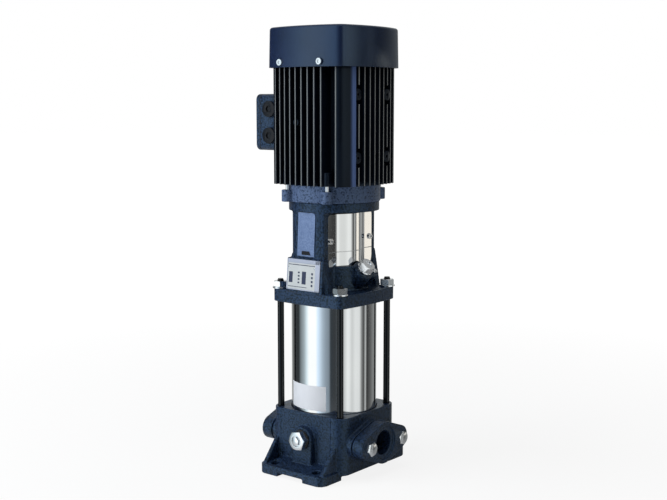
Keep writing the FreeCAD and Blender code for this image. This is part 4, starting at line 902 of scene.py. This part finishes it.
def makeGuard(node, name, side, values):
    low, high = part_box(node)
    reach, face = high.y, values["face"]
    back = face - values["sheet"]
    dip = (reach - values["wide"]) * tan(radians(values["lean"]))
    outer = guardArc(values, values["bulge"], face)
    outer = [(face - dip, -reach), *outer, (face - dip, reach)]
    inner = guardArc(values, values["bulge"] - values["sheet"], back)
    inner = [(back - dip, reach), *inner[::-1], (back - dip, -reach)]
    sheet = upright(outer + inner, low.z, high.z)

    def topCorner(edge):
        first, second = edge.verts
        return min(first.co.z, second.co.z) > high.z - mm and abs(first.co.x - second.co.x) > mm

    span = (0, values["outermost"])
    trim = slab(span, (-reach, reach), (low.z, high.z), values["corner"], topCorner)
    sheet = combined(sheet, meshFrom(trim), "INTERSECT")
    if side == 1:
        for joint, radius in values["notches"].items():
            notch = turned([(radius, -values["notchReach"]), (radius, values["notchReach"])], 64)
            notch.transform(aimed(jointPlace(joint), lean))
            sheet = combined(sheet, notch, "DIFFERENCE")
    bead = tube([(x, y, values["bead"]) for x, y in outer], values["beadRadius"])
    turn = spun(0 if side == 1 else 180)
    sheet.transform(turn)
    bead.transform(turn)
    placePiece(name, sheet, "guardSteel", [node], sharp=30)
    addTrim(f"{name}Bead", bead, "guardSteel", node, sharp=60)


for node, (name, side) in guard["nodes"].items():
    makeGuard(node, name, side, guard)

# nameplate: pale foil in a thin frame, with blank fields and no text
plate = {
    "thick": 0.8 * mm, "soft": 0.1 * mm, "print": 0.06 * mm, "printSunk": 0.1 * mm,
    "rim": 1.2 * mm, "rimOut": 0.2 * mm, "rimSoft": 0.12 * mm, "rise": 0.3 * mm,
    "right": 6.5 * mm, "top": 4.0 * mm,
    # left, foot, right and top, in shares of the plate
    "fields": ((0.07, 0.25, 0.20, 0.64), (0.52, 0.22, 0.66, 0.68)),
    "rules": (
        (0.04, 0.10, 0.70, 0.12), (0.04, 0.89, 0.96, 0.915), (0.38, 0.24, 0.44, 0.30),
        (0.38, 0.36, 0.44, 0.42), (0.38, 0.48, 0.44, 0.54), (0.38, 0.60, 0.44, 0.66),
        (0.84, 0.16, 0.90, 0.24), (0.84, 0.30, 0.90, 0.38), (0.84, 0.44, 0.90, 0.52),
        (0.84, 0.58, 0.90, 0.66),
    ),
    "rivets": ((0.07, 0.80), (0.93, 0.80)),
    "rivet": ((0, 0), (1.3 * mm, 0), (1.1 * mm, 0.4 * mm), (0.6 * mm, 0.7 * mm), (0, 0.8 * mm)),
}


def makeNameplate(values):
    low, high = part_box("nameplate")
    thick = values["thick"]
    rise = Vector((0, high.y - thick - low.y, high.z - low.z))
    tall, wide = rise.length, high.x - low.x
    up = rise.normalized()
    out = Vector((1, 0, 0)).cross(up)
    matrix = Matrix((
        (1, up.x, out.x, low.x), (0, up.y, out.y, low.y), (0, up.z, out.z, low.z), (0, 0, 0, 1),
    ))

    def laid(shapes):
        together = bmesh.new()
        for shape in shapes:
            together.from_mesh(meshFrom(shape))
        mesh = meshFrom(together)
        mesh.transform(matrix)
        return mesh

    foil = slab((0, wide), (0, tall), (-thick, 0), values["soft"])
    placePiece("nameplateFoil", laid([foil]), "plateSilver", ["nameplate"])
    rim, past = values["rim"], -values["rimOut"]
    right, top = wide + values["right"], tall + values["top"]
    bars = [
        ((past, rim), (past, top)), ((0, right), (past, rim)),
        ((wide - rim, right), (0, top)), ((0, right), (tall - rim, top)),
    ]
    frameBars = [slab(x, y, (-thick, values["rise"]), values["rimSoft"]) for x, y in bars]
    addTrim("nameplateFrame", laid(frameBars), "plateFrame", "nameplate")
    printed = [
        slab((a * wide, c * wide), (b * tall, d * tall), (-values["printSunk"], values["print"]))
        for a, b, c, d in values["fields"] + values["rules"]
    ]
    addTrim("nameplateFields", laid(printed), "plateInk", "nameplate")
    rivets = []
    for across, along in values["rivets"]:
        shape = lathe(values["rivet"], 20)
        bmesh.ops.translate(shape, verts=shape.verts, vec=(across * wide, along * tall, 0))
        rivets.append(shape)
    addTrim("nameplateRivets", laid(rivets), "zinc", "nameplate")


makeNameplate(plate)

# front leg: raised flat panel in a lighter paint that is a painted reflection, with a dark plate over the slot at
# its foot as painted shade, outlines in millimetres
panel = {
    "outline": (
        (-16.2, 298.0), (12.8, 298.0), (15.2, 351.5), (14.4, 355.0), (11.5, 356.4), (-13.6, 356.4),
    ),
    "slot": ((-8.6, 299.8), (7.4, 299.8), (4.8, 305.0), (-8.0, 305.0)),
    "face": -58.8 * mm, "back": -57.6 * mm, "proud": 0.1 * mm,
}


def makePanel(values):
    back = values["back"]

    def standing(points, face):
        mesh = upright([(x * mm, z * mm) for x, z in points], 0, back - face)
        mesh.transform(Matrix.Translation((0, back, 0)) @ Matrix.Rotation(radians(90), 4, "X"))
        return mesh

    flat = standing(values["outline"], values["face"])
    # lighter paint on the flat panel as a painted reflection
    addTrim("legPanel", flat, "panelReflectionPaint", "motor_stool")
    # painted shade: a dark plate stands for the slot's shaded hollow
    slotShade = standing(values["slot"], values["face"] - values["proud"])
    addTrim("legSlotShade", slotShade, "plastic", "motor_stool")


makePanel(panel)

# pale blank patch stuck to the foot of the sleeve, from and sweep in degrees
patch = {
    "from": -34, "sweep": 62, "low": 89 * mm, "high": 123 * mm, "thick": 0.12 * mm, "steps": 60,
}


def makePatch(values):
    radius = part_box("outer_sleeve")[1].x
    outer, low, high = radius + values["thick"], values["low"], values["high"]
    profile = [(radius, low), (outer, low), (outer, high), (radius, high)]
    mesh = meshFrom(lathe(profile, values["steps"], values["sweep"], closed=True))
    mesh.transform(spun(values["from"] - 90))
    addTrim("sleevePatch", mesh, "labelFoil", "outer_sleeve", sharp=30)


makePatch(patch)
print("guards, plates and panel made")

# everything that keeps its CAD shape takes the finish of its slot
for node, thing in frame["nodes"].items():
    if thing.hide_render:
        continue
    thing.data.materials.clear()
    thing.data.materials.append(materials[slotMaterials[nodeSlot[node]]])
print("CAD nodes finished")

# stage: a white room whose walls, seen in reflections, hold soft boxes and dark cloths
lamps = {
    "leftBox": {
        "azimuth": -36, "distance": 1.9, "height": 0.75, "width": 1.5, "tall": 1.9,
        "power": 40, "colour": (0.90, 0.95, 1.0),
    },
    "rightBox": {
        "azimuth": 88, "distance": 2.2, "height": 0.8, "width": 1.3, "tall": 1.9,
        "power": 1, "colour": (1.0, 0.98, 0.95),
    },
    "topBox": {
        "azimuth": 10, "distance": 0.6, "height": 2.2, "width": 1.6, "tall": 1.2,
        "power": 14, "colour": (1.0, 1.0, 1.0),
    },
}
coolWall, plainWall, blueWall = (0.84, 1.0, 1.07), (0.97, 1.0, 0.99), (0.81, 1.0, 1.18)
walls = [  # azimuth from -Y towards +X, brightness, tint
    (-176, 0.54, plainWall), (-164, 0.20, plainWall), (-150, 0.90, plainWall),
    (-136, 0.60, plainWall), (-96, 0.04, plainWall), (-71, 0.05, coolWall),
    (-66, 0.22, coolWall), (-50, 0.56, coolWall), (-46, 0.76, coolWall),
    (-40, 1.12, coolWall), (-33, 1.40, plainWall), (-12, 1.40, plainWall),
    (-6, 1.18, blueWall), (0, 0.95, blueWall), (8, 0.62, blueWall), (16, 0.44, blueWall),
    (25, 0.33, blueWall), (29, 0.06, blueWall), (57, 0.05, plainWall), (61, 0.52, plainWall),
    (68, 0.84, plainWall), (75, 1.12, plainWall), (80, 1.08, plainWall), (88, 0.82, plainWall),
    (98, 1.02, plainWall), (111, 0.98, plainWall), (119, 0.28, plainWall),
    (127, 0.06, plainWall), (133, 0.70, plainWall), (138, 0.04, plainWall),
    (155, 0.14, plainWall), (170, 0.28, plainWall),
]
card = {"from": 142.2, "to": 160.0, "low": -0.158, "high": -0.082, "tint": (1.10, 1.05, 0.95)}
room = {
    "floor": 30.0, "aim": 0.3, "overhead": 0.55, "wallTop": 0.45, "ceiling": 0.80, "fill": 0.15,
}
floorLook = {
    "paper": 0.86, "glow": 1.03, "drop": 0.0005,
    "fade": (0.3, 1.4), "dim": (0.84, 1.0),  # the glow dims towards the object
    "steep": (0.25, 0.55),  # flatter reflected rays see the room, steeper ones the paper
}


def makeLamp(name, values):
    data = bpy.data.lights.new(name, "AREA")
    data.shape = "RECTANGLE"
    data.size = values["width"]
    data.size_y = values["tall"]
    data.energy = values["power"]
    data.color = values["colour"]
    lamp = bpy.data.objects.new(name, data)
    lamp.location = roundPoint(values["azimuth"], values["distance"], values["height"])
    towards = Vector((0, 0, room["aim"])) - lamp.location
    lamp.rotation_euler = towards.to_track_quat("-Z", "Y").to_euler()
    lamp.visible_camera = False
    lamp.visible_glossy = False
    scene.collection.objects.link(lamp)


def makeWallGroup():
    group = bpy.data.node_groups.new("roomWalls", "ShaderNodeTree")
    group.interface.new_socket("Direction", in_out="INPUT", socket_type="NodeSocketVector")
    group.interface.new_socket("Color", in_out="OUTPUT", socket_type="NodeSocketColor")
    given, result = group.nodes.new("NodeGroupInput"), group.nodes.new("NodeGroupOutput")
    split = group.nodes.new("ShaderNodeSeparateXYZ")
    group.links.new(given.outputs["Direction"], split.inputs[0])
    ahead = product(group, split.outputs["Y"], -1.0)
    angle = mathNode(group, "ARCTAN2", split.outputs["X"], ahead)
    turn = mathNode(group, "DIVIDE", angle, 2 * pi)
    ramp = group.nodes.new("ShaderNodeValToRGB")
    group.links.new(mathNode(group, "ADD", turn, 0.5), ramp.inputs["Fac"])
    stops = ramp.color_ramp.elements
    while len(stops) < len(walls):
        stops.new(0.5)
    for stop, (azimuth, bright, tint) in zip(stops, walls):
        stop.position = azimuth / 360 + 0.5
        stop.color = (*(bright * channel for channel in tint), 1.0)
    inside = 1.0
    for socket, low, high in (
        (turn, card["from"] / 360, card["to"] / 360),
        (split.outputs["Z"], card["low"], card["high"]),
    ):
        above = mathNode(group, "GREATER_THAN", socket, low)
        below = mathNode(group, "LESS_THAN", socket, high)
        inside = product(group, above, inside, below)
    shown = mixColour(group, inside, ramp.outputs["Color"], card["tint"])
    heights = (room["wallTop"], room["ceiling"])
    rise = spanNode(group, split.outputs["Z"], heights, blend="SMOOTHSTEP")
    colour = mixColour(group, rise, shown, (room["overhead"],) * 3)
    group.links.new(colour, result.inputs["Color"])
    return group


wallGroup = makeWallGroup()


def glossRays(tree, rays):
    glossy, transmitted = rays.outputs["Is Glossy Ray"], rays.outputs["Is Transmission Ray"]
    return mathNode(tree, "MAXIMUM", glossy, transmitted)


def addMix(tree, factor, first, second):
    mix = tree.nodes.new("ShaderNodeMixShader")
    for socket, source in zip(mix.inputs, (factor, first, second)):
        tree.links.new(source, socket)
    return mix.outputs[0]


def makeFloor(values):
    shape = bmesh.new()
    bmesh.ops.create_grid(shape, x_segments=1, y_segments=1, size=room["floor"] / 2)
    material, tree, _ = newMaterial("studioFloor")
    tree.nodes.clear()
    rays = tree.nodes.new("ShaderNodeLightPath")
    surface = tree.nodes.new("ShaderNodeNewGeometry")
    onward = tree.nodes.new("ShaderNodeVectorMath")
    onward.operation = "SCALE"
    onward.inputs["Scale"].default_value = -1.0
    tree.links.new(surface.outputs["Incoming"], onward.inputs[0])
    wall = addGroup(tree, wallGroup, {})
    tree.links.new(onward.outputs[0], wall.inputs["Direction"])
    mirrored = tree.nodes.new("ShaderNodeEmission")
    tree.links.new(wall.outputs["Color"], mirrored.inputs["Color"])
    paper = tree.nodes.new("ShaderNodeBsdfDiffuse")
    paper.inputs["Color"].default_value = (*(values["paper"],) * 3, 1.0)
    glow = tree.nodes.new("ShaderNodeEmission")
    setInputs(glow, {"Color": (1.0, 1.0, 1.0, 1.0), "Strength": values["glow"]})
    away = tree.nodes.new("ShaderNodeVectorMath")
    away.operation = "LENGTH"
    tree.links.new(surface.outputs["Position"], away.inputs[0])
    fade = spanNode(tree, away.outputs["Value"], values["fade"], values["dim"])
    seen = product(tree, rays.outputs["Is Camera Ray"], fade)
    sheet = addMix(tree, seen, paper.outputs[0], glow.outputs[0])
    steep = tree.nodes.new("ShaderNodeSeparateXYZ")
    tree.links.new(surface.outputs["Incoming"], steep.inputs[0])
    flat = spanNode(tree, steep.outputs["Z"], values["steep"], (1.0, 0.0))
    level = product(tree, glossRays(tree, rays), flat)
    output = tree.nodes.new("ShaderNodeOutputMaterial")
    tree.links.new(addMix(tree, level, sheet, mirrored.outputs[0]), output.inputs["Surface"])
    floor = addObject("studioFloor", meshFrom(shape))
    floor.data.materials.append(material)
    floor.location.z = -values["drop"]


def makeWorld():
    world = bpy.data.worlds.new("studio")
    world.use_nodes = True
    world.cycles.sampling_method = "NONE"
    scene.world = world
    tree = world.node_tree
    tree.nodes.clear()
    rays = tree.nodes.new("ShaderNodeLightPath")
    plain = mixColour(tree, rays.outputs["Is Camera Ray"], (room["fill"],) * 3, (1.0, 1.0, 1.0))
    wall = addGroup(tree, wallGroup, {})
    direction = tree.nodes.new("ShaderNodeTexCoord").outputs["Generated"]
    tree.links.new(direction, wall.inputs["Direction"])
    colour = mixColour(tree, glossRays(tree, rays), plain, wall.outputs["Color"])
    backdrop = tree.nodes.new("ShaderNodeBackground")
    tree.links.new(colour, backdrop.inputs["Color"])
    output = tree.nodes.new("ShaderNodeOutputWorld")
    tree.links.new(backdrop.outputs[0], output.inputs["Surface"])


for name, values in lamps.items():
    makeLamp(name, values)
makeFloor(floorLook)
makeWorld()
scene.view_settings.view_transform = "Standard"
print("stage set")
